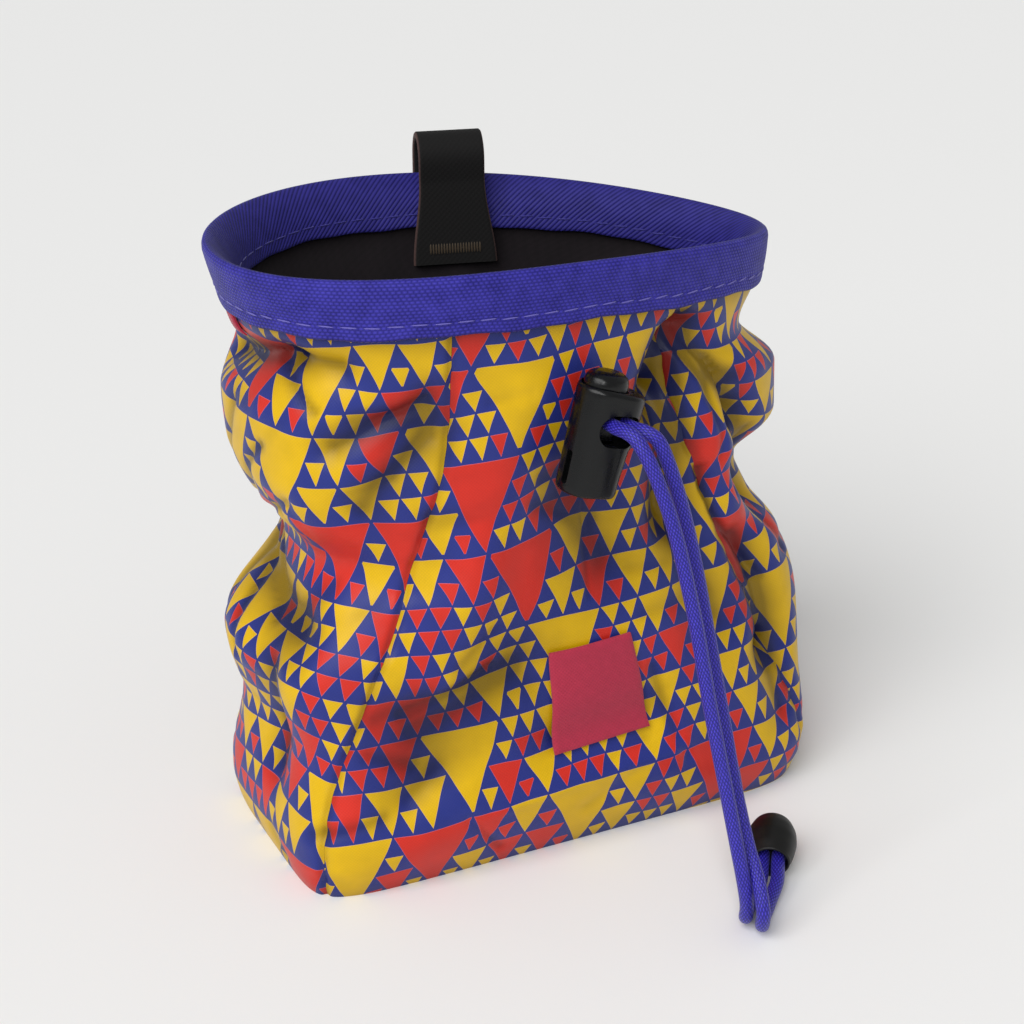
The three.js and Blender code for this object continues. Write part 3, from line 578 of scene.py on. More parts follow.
def plainCloth(name, colour, roughness, pitch, sheen=0.3, distance=0.1, spread=0.12, edgeColour=None):
    # Woven cloth of one colour: matt, with a fine over-and-under grain that catches side light
    material, tree, shader = newMaterial(
        name, Roughness=roughness, Specular_IOR_Level=0.3, Sheen_Weight=sheen, Sheen_Roughness=0.5,
    )
    places = addNode(tree, "UVMap", uv_map="cloth")
    threads = weaveOf(tree, places, pitch)
    mottle = addNode(tree, "TexNoise", {"Vector": places, "Scale": 0.5, "Detail": 4.0})
    tone = addNode(tree, "Math", [threads, 0.5, mottle], operation="MULTIPLY_ADD")
    level = addNode(tree, "MapRange", [tone, 0.3, 1.2, 1 - spread, 1 + spread])
    body = addNode(
        tree, "Mix", {0: 1.0, 6: linear(colour), 7: level}, data_type="RGBA", blend_type="MULTIPLY",
    )
    if edgeColour:
        cut = addNode(tree, "Attribute", attribute_name="edge").outputs["Fac"]
        body = addNode(tree, "Mix", {0: cut, 6: body, 7: linear(edgeColour)}, data_type="RGBA")
    finishShader(tree, shader, body, threads, 0.6, distance)
    return material


tapeWeave = {
    "colour": "#1A1670",
    "light": "#3C37A8",
    "ribAcross": 1.05,  # from one raised thread to the next along the tape
    "ribUp": 0.7,  # and across it
    "step": 0.38,  # how far each row moves on, as a share of ribAcross
    "twill": 1.2,  # pitch of the slanted ribs inside
    "insideFrom": 12.2,  # how far round the section the inside face starts
    "insideShade": 0.55,  # painted shade: how much darker that face, which faces into the bag, is
}


def wovenTape(name):
    # Woven polypropylene tape: rows of raised threads outside, slanted ribs inside, with a dull shine
    material, tree, shader = newMaterial(
        name, Roughness=0.6, Specular_IOR_Level=0.25, Sheen_Weight=0.05, Sheen_Roughness=0.4,
    )
    places = addNode(tree, "UVMap", uv_map="cloth")
    x, y = addNode(tree, "SeparateXYZ", [places]).outputs[:2]
    rows = addNode(tree, "Math", [y, tapeWeave["ribUp"]], operation="DIVIDE")
    rowFloor = addNode(tree, "Math", [rows], operation="FLOOR")
    across = addNode(tree, "Math", [x, 1 / tapeWeave["ribAcross"]], operation="MULTIPLY")
    offset = addNode(tree, "Math", [rowFloor, tapeWeave["step"], across], operation="MULTIPLY_ADD")
    bulges = []
    for way in (offset, rows):
        place = addNode(tree, "Math", [way], operation="FRACT")
        place = addNode(tree, "Math", [place, pi], operation="MULTIPLY")
        bulges.append(addNode(tree, "Math", [place], operation="SINE"))
    dots = addNode(tree, "Math", bulges, operation="MULTIPLY")
    slant = addNode(tree, "Math", [x, y], operation="SUBTRACT")
    slant = addNode(tree, "Math", [slant, pi / tapeWeave["twill"]], operation="MULTIPLY")
    ribs = addNode(tree, "Math", [slant], operation="SINE")
    ribs = addNode(tree, "Math", [ribs], operation="ABSOLUTE")
    isInside = addNode(tree, "Math", [y, tapeWeave["insideFrom"]], operation="GREATER_THAN")
    height = addNode(tree, "Mix", {0: isInside, 2: dots, 3: ribs}, data_type="FLOAT")
    worn = addNode(tree, "TexNoise", {"Vector": places, "Scale": 0.25, "Detail": 3.0})
    tone = addNode(tree, "Math", [height, 0.75, worn], operation="MULTIPLY_ADD")
    level = addNode(tree, "MapRange", [tone, 0.4, 1.3, 0.0, 1.0])
    colours = linear(tapeWeave["colour"]), linear(tapeWeave["light"])
    body = addNode(tree, "Mix", {0: level, 6: colours[0], 7: colours[1]}, data_type="RGBA")
    # painted shade on the inside face, which lies in the bag's shade
    insideShadeTone = addNode(tree, "MapRange", [isInside, 0.0, 1.0, 1.0, tapeWeave["insideShade"]])
    body = addNode(tree, "Mix", {0: 1.0, 6: body, 7: insideShadeTone}, data_type="RGBA", blend_type="MULTIPLY")
    finishShader(tree, shader, body, height, 0.8, 0.18)
    return material


def mouldedPlastic(name, colour, roughness, grain, depth, specular):
    # Injection-moulded acetal: satin black with a faint spark-eroded grain
    material, tree, shader = newMaterial(name, Roughness=roughness, Specular_IOR_Level=specular)
    places = addNode(tree, "TexCoord").outputs["Object"]
    speck = addNode(tree, "TexNoise", {"Vector": places, "Scale": 1000 / grain, "Detail": 3.0})
    cloud = addNode(tree, "TexNoise", {"Vector": places, "Scale": 240.0, "Detail": 2.0})
    tone = addNode(tree, "MapRange", [cloud, 0.3, 0.7, 0.85, 1.2])
    body = addNode(
        tree, "Mix", {0: 1.0, 6: linear(colour), 7: tone}, data_type="RGBA", blend_type="MULTIPLY",
    )
    gloss = addNode(tree, "MapRange", [cloud, 0.3, 0.7, roughness - 0.06, roughness + 0.06])
    setInput(tree, shader, "Roughness", gloss)
    finishShader(tree, shader, body, speck, 0.5, depth)
    return material


printed = printedPolyester("printed_polyester")
printedBase = printedPolyester("printed_polyester_base", True)
fleece = plainCloth("brushed_fleece", "#100A0E", 0.95, 1.3, 0.05, 0.05, 0.3)
tapeCloth = wovenTape("woven_tape")
webbing = plainCloth("woven_webbing", "#060505", 0.8, 0.62, 0.02, 0.06, 0.1, "#4A3532")
labelCloth = plainCloth("woven_label", "#A62640", 0.7, 0.42, 0.15, 0.08)
thread = plainCloth("stitch_thread", "#625CAE", 0.6, 0.3, 0.3, 0.05)
loopThread = plainCloth("stitch_thread_loop", "#3B3022", 0.6, 0.3, 0.1, 0.05)
darkThread = plainCloth("stitch_thread_dark", "#2A2680", 0.6, 0.3, 0.3, 0.05)
acetal = mouldedPlastic("moulded_acetal", "#08090A", 0.27, 0.35, 0.03, 0.3)
softPlastic = mouldedPlastic("moulded_soft_plastic", "#070706", 0.45, 0.3, 0.02, 0.35)
print("materials made")


# Printed panels
panel = {
    "rows": 150,
    "columns": {"gusset_right": 110, "back_panel": 130, "gusset_left": 110, "front_panel": 190},
    "tilt": {"gusset_right": -2.0, "back_panel": 1.0, "gusset_left": -3.0, "front_panel": 3.0},  # degrees
    "slide": {
        "gusset_right": (31.0, 7.0), "back_panel": (87.0, 3.0),
        "gusset_left": (-54.0, 11.0), "front_panel": (0.0, 0.0),
    },
    "skip": 5,  # points left out where the cloth is first laid flat
    "trim": 0.03,  # gap at a seam
    "seamRoll": 0.85,  # how deep the seams roll in, and how far from the seam
    "seamReach": 1.1,
    "pucker": 0.2,
    "puckerReach": 3.5,
    "creases": 90,
    "dentShade": 0.68,  # how dark the painted shade gets in dents, at seams and along the edges under the tape and at the floor
    "seamShade": 0.22,
    "edgeShade": 0.3,
    "edgeReach": 3.0,
    "top": 1 - 4.5 / tall,  # hidden in the folded tape
}
rng = np.random.default_rng(21)
creaseTilt = rng.normal(0, 0.6, panel["creases"])
creaseLength = rng.uniform(0.03, 0.11, panel["creases"])
creaseRound = rng.uniform(-0.5, 0.5, panel["creases"])
creaseUp = rng.uniform(0.03, 0.88, panel["creases"])
fineCreases = {
    "roundA": creaseRound,
    "upA": creaseUp,
    "roundB": creaseRound + creaseLength * np.cos(creaseTilt) * 0.5,
    "upB": creaseUp + creaseLength * np.sin(creaseTilt),
    "wide": rng.uniform(0.16, 0.42, panel["creases"]),
    "deep": rng.uniform(-0.19, 0.07, panel["creases"]),
}
# Creases that stand out in the cloth: round the pinched left side, down the right valley, and one
# line ironed in above the label
setRows = (
    (-0.292, 0.53, -0.262, 0.33, 0.26, -0.28), (-0.286, 0.525, -0.232, 0.41, 0.22, -0.24),
    (-0.304, 0.52, -0.306, 0.29, 0.3, -0.26), (-0.325, 0.525, -0.35, 0.33, 0.26, -0.24),
    (-0.28, 0.56, -0.205, 0.64, 0.2, -0.26), (-0.292, 0.57, -0.222, 0.72, 0.22, -0.28),
    (-0.305, 0.58, -0.262, 0.76, 0.26, -0.24), (-0.235, 0.86, -0.18, 0.79, 0.2, -0.22),
    (0.088, 0.88, 0.118, 0.64, 0.2, -0.26), (0.118, 0.8, 0.15, 0.56, 0.18, -0.26),
    (0.108, 0.62, 0.15, 0.4, 0.2, -0.28), (0.16, 0.66, 0.19, 0.42, 0.2, -0.22),
    (-0.12, 0.3, -0.06, 0.352, 0.22, -0.22), (-0.06, 0.12, 0.07, 0.155, 0.24, 0.16),
    (0.05, 0.3, 0.07, 0.13, 0.22, -0.18), (0.008, 0.44, 0.008, 0.62, 0.1, -0.1),
)
isDent = folds["deep"] < 0
coreShare = {"wide": 0.34, "deep": 0.2}  # each dent has a crisp core
for name, setColumn in zip(foldNames, np.array(setRows).T):
    core = folds[name][isDent] * coreShare.get(name, 1.0)
    fineCreases[name] = np.concatenate([fineCreases[name], core, setColumn])


def panelDetail(share, row):
    # the seams roll in and pucker, fine creases cross the cloth, and painted shade darkens the dents, the
    # creases, the seams, the strip under the tape and the strip along the floor
    edge = np.minimum(row["spot"], row["length"] - row["spot"])
    up = share * tall
    underTape = tall - tape["outside"] - up
    ripple = math.sin(up * 1.13) + 0.7 * math.sin(up * 0.61 + 1.4)
    roll = -panel["seamRoll"] * np.exp(-((edge / panel["seamReach"]) ** 2))
    pucker = panel["pucker"] * ripple * np.exp(-edge / panel["puckerReach"])
    fade = ease(underTape / 2.5) * ease(up / 3)
    fine = creasesAt(fineCreases, row["turns"], share) * fade
    # painted shade: darker in dents and creases, at the seams, under the tape's overhang and along the floor
    paintedDentShade = -foldsAt(row["turns"], share) / bag["foldDepth"]
    shade = 1 - panel["dentShade"] * np.clip(paintedDentShade * 0.85 - fine * 0.9, 0, 1)
    shade = shade - panel["seamShade"] * np.exp(-((edge / 1.5) ** 2))
    overhang = math.exp(-((max(underTape, 0) / panel["edgeReach"]) ** 2))
    shade = shade - panel["edgeShade"] * (overhang + math.exp(-up / panel["edgeReach"]))
    return roll + pucker * fade + fine, np.clip(shade, 0.3, 1)


def relax(places, points, rounds):
    # draws flat places towards the lengths that the cloth has between its points
    places = places.copy()
    rows, columns = places.shape[:2]
    springs = []
    count = np.zeros((rows, columns, 1))
    for up, over in ((0, 1), (1, 0), (1, 1), (1, -1)):
        first = (slice(0, rows - up), slice(max(-over, 0), columns - max(over, 0)))
        second = (slice(up, rows), slice(max(over, 0), columns - max(-over, 0)))
        springs.append((first, second, np.linalg.norm(points[second] - points[first], axis=2)))
        count[first] += 1
        count[second] += 1
    for _ in range(rounds):
        move = np.zeros_like(places)
        for first, second, length in springs:
            gap = places[second] - places[first]
            now = np.linalg.norm(gap, axis=2)
            pull = gap * (0.5 * (now - length) / now)[:, :, None]
            move[first] += pull
            move[second] -= pull
        places += 1.6 * move / count
    return places


def printPlaces(name, points, spots):
    # where the print falls: the panel laid flat again, first coarsely and then point by point
    climb = np.linalg.norm(np.diff(points, axis=0), axis=2).mean(axis=1)
    v = np.concatenate([[0], np.cumsum(climb)])
    u = spots - spots[:, -1:] / 2
    flat = np.stack([u, np.broadcast_to(v[:, None], u.shape)], axis=-1)
    skip = panel["skip"]
    moved = relax(flat[::skip, ::skip], points[::skip, ::skip], 900) - flat[::skip, ::skip]
    r, c = np.arange(len(flat)) / skip, np.arange(flat.shape[1]) / skip
    r0 = np.minimum(r.astype(int), len(moved) - 2)
    c0 = np.minimum(c.astype(int), moved.shape[1] - 2)
    r = (r - r0)[:, None, None]
    c = (c - c0)[None, :, None]
    low, high = [moved[row][:, c0] * (1 - c) + moved[row][:, c0 + 1] * c for row in (r0, r0 + 1)]
    u, v = np.moveaxis(relax(flat + low * (1 - r) + high * r, points, 80), -1, 0)
    tilt = math.radians(panel["tilt"][name])
    turned = (u * math.cos(tilt) + v * math.sin(tilt), v * math.cos(tilt) - u * math.sin(tilt))
    return np.stack(turned, axis=-1) + panel["slide"][name]


def makePanel(name):
    t = np.linspace(0, 1, panel["columns"][name] + 1)
    across = t - 0.55 * np.sin(2 * pi * t) / (2 * pi)  # closer together at the seams
    outer, inner, shades, spots = [], [], [], []
    for share in panel["top"] * np.linspace(0, 1, panel["rows"] + 1) ** 1.06:
        row = wallRow(share, name, across, trim=panel["trim"])
        push, dark = panelDetail(share, row)
        shades.append(dark)
        spots.append(row["spot"])
        outer.append(row["point"] + row["outward"] * push[:, None])
        inner.append(row["point"] + row["outward"] * (np.minimum(push, 0) * 0.3 - bag["wall"])[:, None])
    cloth = printPlaces(name, np.array(outer), np.array(spots))
    made = wallObject(name + "_cloth", outer, inner, cloth, printed)
    # the painted shade, passed to the print material
    pointValues(made.data, "shade", np.tile(np.array(shades).ravel(), 2))
    dress(made, name)


for panelName in panel["columns"]:
    makePanel(panelName)
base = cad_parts["base_panel"]
base.data.materials.clear()
base.data.materials.append(printedBase)
print("panels made")


# Lining
liner = {
    "wall": 1.2, "gap": 0.5, "slack": 2.0, "collar": 26.0, "widen": 1.6, "floor": 1.8, "hidden": 8.5,
    "rows": 90, "floorRows": 16, "drape": 0.8,
    "waves": ((7, 0.6, 0.0), (11, 0.5, 1.3), (17, 0.35, 2.1), (29, 0.2, 0.4)),  # how many, height, phase
    "columns": {"gusset_right": 66, "back_panel": 50, "gusset_left": 66, "front_panel": 64},
}


def makeLining():
    hem = 1 - tape["inside"] / tall
    lower = np.linspace(liner["floor"] / tall, hem, liner["rows"])
    outer, inner, cloth = [], [], []
    for share in np.concatenate([lower, np.linspace(hem, 1 - liner["hidden"] / tall, 4)[1:]]):
        belowTape = (1 - share) * tall - tape["inside"]
        slack = liner["slack"] * ease(belowTape / (liner["collar"] - tape["inside"]))
        row = ringRow(share, liner["columns"], -(bag["wall"] + liner["gap"] + slack), liner["widen"])
        deepness = liner["drape"] * ease(belowTape / 12) * ease(share * tall / 14)
        wave = sum(
            height * np.sin(2 * pi * count * row["turns"] + phase + 5 * share)
            for count, height, phase in liner["waves"]
        )
        push = deepness * (wave - 1.4)
        outer.append(row["point"] + row["outward"] * push[:, None])
        inner.append(row["point"] + row["outward"] * (push - liner["wall"])[:, None])
        cloth.append(np.stack([row["round"], np.full(len(row["round"]), share * tall)], axis=-1))
    # the floor, in rings that close towards the middle
    floorOut, floorIn, floorCloth = [], [], []
    middle = outer[0].mean(axis=0)
    for step in np.linspace(0.06, 0.97, liner["floorRows"]):
        ringIn = middle + (inner[0] - middle) * step
        ringIn[:, 2] = middle[2] + liner["wall"] + 0.5 * math.sin(step * 9) ** 2
        floorOut.append(middle + (outer[0] - middle) * step)
        floorIn.append(ringIn)
        floorCloth.append(cloth[0] * (1.0, 0.0) - (0.0, 30 * (1 - step)))
    inner[0][:, 2] += liner["wall"]
    made = wallObject("lining_cloth", floorOut + outer, floorIn + inner, floorCloth + cloth, fleece, True)
    dress(made, "lining")


makeLining()
print("lining made")


# Rim tape
outerFace = bag["layerGap"] + tape["thickness"]
innerBack = -(bag["wall"] + liner["gap"] + liner["wall"] + bag["layerGap"])
innerFace = innerBack - tape["thickness"]
rimCounts = {"gusset_right": 190, "back_panel": 150, "gusset_left": 190, "front_panel": 190}


def tapeOutline():
    # the tape's section as out and drop, once round: outer face, tight fold, inner face, then the hidden side
    outside = [(outerFace, -drop) for drop in np.linspace(tape["outside"] - 0.3, 1.7, 16)]
    fold = [
        (1.2, -1.0), (0.92, -0.45), (0.5, -0.12), (0.0, 0.0), (-0.5, -0.12), (-1.05, -0.5), (-1.65, -1.15),
        (-2.3, -2.05), (-2.95, -3.2), (-3.5, -4.5), (-3.95, -5.9), (-4.25, -7.3), (-4.45, -8.7),
    ]
    inside = [(innerFace, -drop) for drop in np.linspace(9.6, tape["inside"] - 0.3, 3)]
    hidden = [
        (innerFace + 0.3, -tape["inside"]), (innerBack, -tape["inside"]), (-3.4, -8.8), (-3.05, -6.6),
        (-2.3, -4.7), (-1.4, -3.1), (-0.6, -1.9), (bag["layerGap"], -1.5),
        (bag["layerGap"], -tape["outside"]), (outerFace - 0.3, -tape["outside"]),
    ]
    return outside + fold + inside + hidden


def rimWave(turns, drop):
    # how the tape's lower edge wanders up and down
    wave = np.sin(2 * pi * 9 * turns + 0.7) + 0.6 * np.sin(2 * pi * 23 * turns)
    return tape["ripple"] * wave * ease((drop - 4) / 8)


def makeTape():
    outline = tapeOutline()
    places, span = [], [0.0]
    for i, (out, drop) in enumerate(outline):
        row = ringRow(1 + drop / tall, rimCounts, out)
        around = row["round"] if i == 0 else around
        steps = round(around[-1] / tape["stitchPitch"])
        stitch = 0.5 + 0.5 * np.cos(2 * pi * around[:-1] * steps / around[-1])
        turns = row["turns"] if i == 0 else turns
        point = row["point"]
        point[:, 2] += rimWave(turns, -drop)
        isOut = out > (outerFace + innerFace) / 2
        if abs(out - outerFace) < 0.01 or abs(out - innerFace) < 0.3:
            line = tape["outside" if isOut else "inside"] - tape["stitchUp"]
            pull = math.exp(-((-drop - line) ** 2)) * tape["dimple"] * (0.35 + 0.65 * stitch)
            swell = tape["swell"] * math.sin(pi * min(-drop / 9, 1)) if isOut else 0.0
            point += row["outward"] * ((1.0 if isOut else -1.0) * (swell - pull))[:, None]
        places.append(point)
        span.append(span[-1] + math.dist(outline[i], outline[(i + 1) % len(outline)]))
    cloth = np.stack(np.meshgrid(around, span, indexing="ij"), axis=-1)
    made = tubeObject("rim_tape", np.stack(places, axis=1), tapeCloth, 60, cloth, True)
    dress(made, "rim_binding")


makeTape()
print("tape made")


# Webbing loop over the back of the rim
strap = {
    "thickness": 1.6, "topWidth": 14.0, "baseWidth": 18.0, "rise": 9.4, "outerTail": 7.0, "innerTail": 7.4,
    "relief": 1.0, "play": 0.2, "across": 0.485,
}
loopSeams = {}
seamPlaces = {"front": -6, "back": 6}  # steps from an end of the strap
needles = np.arange(-9, 10)[:, None] * 0.62  # of a bar tack


def strapPath():
    half = strap["thickness"] / 2
    outside = outerFace + bag["layerGap"] + strap["play"] + half
    inside = innerFace - bag["layerGap"] - half - strap["relief"]
    onWall = 2 * bag["layerGap"] + strap["play"] + half
    low = tape["outside"] + strap["outerTail"]
    shoulder = strap["rise"] * 0.45
    path = [(onWall, -low), (onWall, -(low + tape["outside"]) / 2), (outside, -(tape["outside"] + half))]
    path += [(outside, -tape["outside"] / 2), (outside, 0.0)]
    for turn in np.linspace(0, pi, 17):
        out = (outside + inside) / 2 + (outside - inside) / 2 * math.cos(turn)
        path.append((out, shoulder + (strap["rise"] - shoulder) * math.sin(turn)))
    path += [(inside, -drop) for drop in (0.0, tape["inside"] / 2, tape["inside"])]
    path.append((inside, -(tape["inside"] + strap["innerTail"])))
    return path


def smoothLine(points, count):
    # points spread evenly along a line through the given ones, its corners softened
    points = np.array(points)
    along = runOf(points)
    spread = pick(np.linspace(0, along[-1], count), along, points)
    for _ in range(3):
        spread[1:-1] = (spread[:-2] + 2 * spread[1:-1] + spread[2:]) / 4
    return spread


def makeStrap():
    path = smoothLine(strapPath(), 90)
    across = np.array([strap["across"]])
    side = wallRow(1.0, "back_panel", across)["along"][0]
    spots = np.array([
        wallRow(1 + min(up, 0) / tall, "back_panel", across, out, max(up, 0))["point"][0] for out, up in path
    ])
    half = strap["thickness"] / 2
    flat = np.linspace(-1, 1, 29)
    edge = [(1 + 0.5 * half / 7 * math.sin(a * pi), math.cos(a * pi)) for a in (0.25, 0.5, 0.75)]
    corners = [(s, 1.0) for s in flat] + edge
    corners += [(s, -1.0) for s in flat[::-1]] + [(-s, f) for s, f in edge[::-1]]
    run = runOf(spots)
    rings, cloth = [], []
    for i, spot in enumerate(spots):
        ahead = unit(spots[min(i + 1, len(spots) - 1)] - spots[max(i - 1, 0)])
        face = unit(np.cross(ahead, side))
        low = ease(-path[i][1] / (tape["outside"] + strap["outerTail"]))
        wide = (strap["topWidth"] + (strap["baseWidth"] - strap["topWidth"]) * low) / 2
        rings.append([spot + side * s * wide + face * f * half for s, f in corners])
        cloth.append([(s * wide, run[i]) for s, _ in corners + corners[:1]])
    made = tubeObject("hang_loop_webbing", rings, webbing, 60, cloth)
    sides = [abs(s) > 1 for s, _ in corners]
    pointValues(made.data, "edge", sides * len(spots) + [False, False])
    for place, step in seamPlaces.items():
        ahead = unit(spots[step] - spots[step - 1])
        face = unit(np.cross(side, ahead))
        tacks = spots[step] + face * (half + 0.02) + needles * side
        loopSeams[place] = (tacks, np.tile(ahead, (len(needles), 1)), np.tile(face, (len(needles), 1)))
    dress(made, "hang_loop")


makeStrap()
print("loop made")


# Drawstring: the two strands' routes follow the solids', a little closer together
cord = {
    "diameter": 3.0, "step": 0.4, "around": 32, "strands": 14, "pitch": 1.3, "relief": 0.12,
    # the braid's blue with painted shade for the gaps, and with a painted highlight for the crowns
    "dark": "#150D7A", "light": "#4A3FD0",
}
leftRoute = (
    (1.2, -44.5, 103), (1.4, -47.6, 103.1), (2, -50.4, 103.2), (2.9, -52.7, 102.4), (4.4, -55.5, 98.6),
    (6.8, -58, 90.8), (8.8, -60, 82.4), (11, -64.5, 66), (12, -70, 48.5), (12.8, -76.5, 31.5),
    (13.3, -80.5, 21), (13.8, -83, 13.5), (14.7, -83.3, 7.7), (15.6, -81.8, 3.5), (18, -78.3, 1.75),
    (21.9, -74.8, 1.9), (25.7, -71.2, 3.1), (28.6, -67.1, 4.15), (30.2, -64.7, 4.7),
)
rightRoute = (
    (4.9, -44.5, 102.2), (5.2, -47.6, 102.3), (6.5, -50.4, 102.3), (8.2, -52.2, 101), (10, -54, 95.9),
    (12.4, -56, 86.2), (14.3, -58, 75.5), (15.7, -61, 62.9), (16.9, -66.5, 45), (17.1, -73.5, 28.3),
    (17, -79, 19), (16.7, -84.4, 12.6), (16.3, -87.2, 7.7), (17.1, -85.8, 3.5), (19.5, -82.3, 1.75),
    (24.4, -77.2, 1.9), (28.7, -73, 3.1), (31.4, -68.9, 4.15), (33, -66.6, 4.7),
)


def cordLine(route, step):
    # a smooth curve through the route's points, then points a step apart along it
    route = np.array(route, float)
    route = np.concatenate([[2 * route[0] - route[1]], route, [2 * route[-1] - route[-2]]])
    t = np.linspace(0, 1, 40, endpoint=False)[:, None]
    fine = []
    for i in range(1, len(route) - 2):
        before, first, second, after = route[i - 1:i + 3]
        spans = ((before, first), (first, second), (second, after))
        a, b, c = [math.sqrt(math.dist(*ends)) for ends in spans]
        startWay = b * ((first - before) / a - (second - before) / (a + b) + (second - first) / b)
        endWay = b * ((second - first) / b - (after - first) / (b + c) + (after - second) / c)
        bend = startWay * t * (1 - t) ** 2 - endWay * t * t * (1 - t)
        fine.append(first + (second - first) * ease(t) + bend)
    fine = np.concatenate(fine + [route[-2:-1]])
    along = runOf(fine)
    return pick(np.linspace(0, along[-1], int(along[-1] / step) + 1), along, fine), along[-1]


def braidedCord(name):
    # Braided polyester sheath: two ways of strands that pass over and under, with a silky shine
    material, tree, shader = newMaterial(
        name, Roughness=0.42, Specular_IOR_Level=0.45, Sheen_Weight=0.08, Sheen_Roughness=0.35,
    )
    places = addNode(tree, "UVMap", uv_map="cloth")
    x, y = addNode(tree, "SeparateXYZ", [places]).outputs[:2]
    run = addNode(tree, "Math", [x, cord["pitch"]], operation="DIVIDE")
    one = addNode(tree, "Math", [y, run], operation="ADD")
    other = addNode(tree, "Math", [y, run], operation="SUBTRACT")
    floors = [addNode(tree, "Math", [way], operation="FLOOR") for way in (one, other)]
    both = addNode(tree, "Math", floors, operation="ADD")
    half = addNode(tree, "Math", [both, 0.5], operation="MULTIPLY")
    isOne = addNode(tree, "Math", [half], operation="FRACT")
    isOne = addNode(tree, "Math", [isOne, 2.0], operation="MULTIPLY")
    heights = []
    for ways in ((one, other), (other, one)):
        way = addNode(tree, "Mix", {0: isOne, 2: ways[0], 3: ways[1]}, data_type="FLOAT")
        place = addNode(tree, "Math", [way], operation="FRACT")
        place = addNode(tree, "Math", [place, pi], operation="MULTIPLY")
        heights.append(addNode(tree, "Math", [place], operation="SINE"))
    height = addNode(tree, "Math", heights, operation="MULTIPLY")
    rough = addNode(tree, "TexNoise", {"Vector": places, "Scale": 1.1, "Detail": 2.0})
    uneven = addNode(tree, "MapRange", [rough, 0.3, 0.7, 0.7, 1.15])
    # the blue braid, darker in the gaps between picks and lighter on their crowns: painted shade in the gaps
    # and a painted highlight on the crowns
    tone = addNode(tree, "Math", [height, uneven], operation="MULTIPLY")
    level = addNode(tree, "MapRange", [tone, 0.25, 0.95, 0.0, 1.0])
    colours = linear(cord["dark"]), linear(cord["light"])
    colour = addNode(tree, "Mix", {0: level, 6: colours[0], 7: colours[1]}, data_type="RGBA")
    finishShader(tree, shader, colour, height, 0.9, cord["relief"])
    return material


cordCloth = braidedCord("braided_polyester")


def makeCord(name, node, route):
    line, length = cordLine(route, cord["step"])
    ways = unit(np.gradient(line, axis=0))
    side = np.cross(ways[0], [0, 0, 1.0])
    angles = np.linspace(0, 2 * pi, cord["around"], endpoint=False)[:, None]
    rings = []
    for spot, way in zip(line, ways):
        side = unit(side - way * np.dot(side, way))
        ring = np.cos(angles) * side + np.sin(angles) * np.cross(way, side)
        rings.append(spot + cord["diameter"] / 2 * ring)
    run = np.arange(len(line)) * cord["step"]
    turn = np.linspace(0, cord["strands"], cord["around"] + 1)
    cloth = np.stack(np.meshgrid(run, turn, indexing="ij"), axis=-1)
    made = dress(tubeObject(name, rings, cordCloth, 80, cloth), node)
    print(name, "made, mm:", round(length, 1))
    return made, toFrame(line), length * mm


cords = [
    makeCord("cord_left_braid", "cord_left", leftRoute),
    makeCord("cord_right_braid", "cord_right", rightRoute),
]


# End stopper on both strands
stopper = {
    "radius": 5.5, "mouth": 4.2, "length": 13.0, "pocket": 3.6, "pocketDepth": 3.2,
    "point": (30.0, -68.0, 4.15), "heading": (0.55, 0.81, 0.2),
}


def makeStopper():
    wide, long, pocket, deep = [stopper[key] for key in ("radius", "length", "pocket", "pocketDepth")]
    profile = [
        (0.05, deep), (pocket - 0.2, deep), (pocket, deep - 0.2), (pocket, 0.3), (pocket + 0.12, 0.08),
        (pocket + 0.3, 0.0), (stopper["mouth"] - 0.1, 0.05), (stopper["mouth"] + 0.06, 0.25),
    ]
    dome = [
        (stopper["mouth"] + 0.1, 0.5), (wide * 0.9, long * 0.2), (wide, long * 0.45),
        (wide * 0.96, long * 0.65), (wide * 0.76, long * 0.86), (wide * 0.42, long * 0.97), (0.05, long),
    ]
    angles = np.linspace(0, 2 * pi, 64, endpoint=False)
    profile += list(smoothLine(dome, 40))
    rings = np.array([[(r * math.cos(a), z, r * math.sin(a)) for a in angles] for r, z in profile])
    turn = Vector((0, 1, 0)).rotation_difference(Vector(stopper["heading"]).normalized()).to_matrix()
    rings = rings @ np.array(turn).T + np.array(stopper["point"])
    rings[:, :, 2] -= rings[:, :, 2].min()
    return dress(tubeObject("cord_stopper_dome", rings, softPlastic, 60), "cord_stopper")


stopperDome = makeStopper()
print("stopper made")


# Cord lock
lock = {
    "width": 14.6, "thickness": 11.0, "length": 23.0, "corner": 4.9, "lean": 13.0, "x": 1.0, "z": 98.8,
    "shoulderDrop": 2.0, "draft": 0.16, "bevel": 1.1, "edge": 0.18, "crown": 0.12, "flat": 5.0,
    "windowWidth": 9.8, "windowHeight": 6.8, "windowAcross": 1.1, "windowUp": 3.2, "windowDepth": 4.5,
    "slotWidth": 1.6, "slotHeight": 7.2, "slotAcross": -1.2, "slotUp": 5.6, "slotDepth": 1.3,
    "clearance": 0.4,
}
button = {
    "across": -1.7, "width": 9.4, "thickness": 8.4, "proud": 2.9, "travel": 2.0, "sink": 0.7,
    "stemWidth": 7.0, "stemThickness": 4.4, "stemLength": 11.5,
}
lockTop = lock["length"] / 2
lean = math.radians(lock["lean"])


def roundedRing(width, depth, corner, count=9):
    # a rounded rectangle as points, the same number whatever its size
    return np.array([
        (x * (width / 2 - corner) + corner * math.cos(a), y * (depth / 2 - corner) + corner * math.sin(a))
        for x, y, first in ((1, -1, -90), (1, 1, 0), (-1, 1, 90), (-1, -1, 180))
        for a in np.radians(np.linspace(first, first + 90, count))
    ])


def ovalRing(width, depth, count):
    angles = np.linspace(0, 2 * pi, count, endpoint=False)
    return np.column_stack([width / 2 * np.cos(angles), depth / 2 * np.sin(angles)])


def stackRings(ring, levels):
    # one outline at several heights
    return [np.column_stack([ring, np.full(len(ring), level)]) for level in levels]


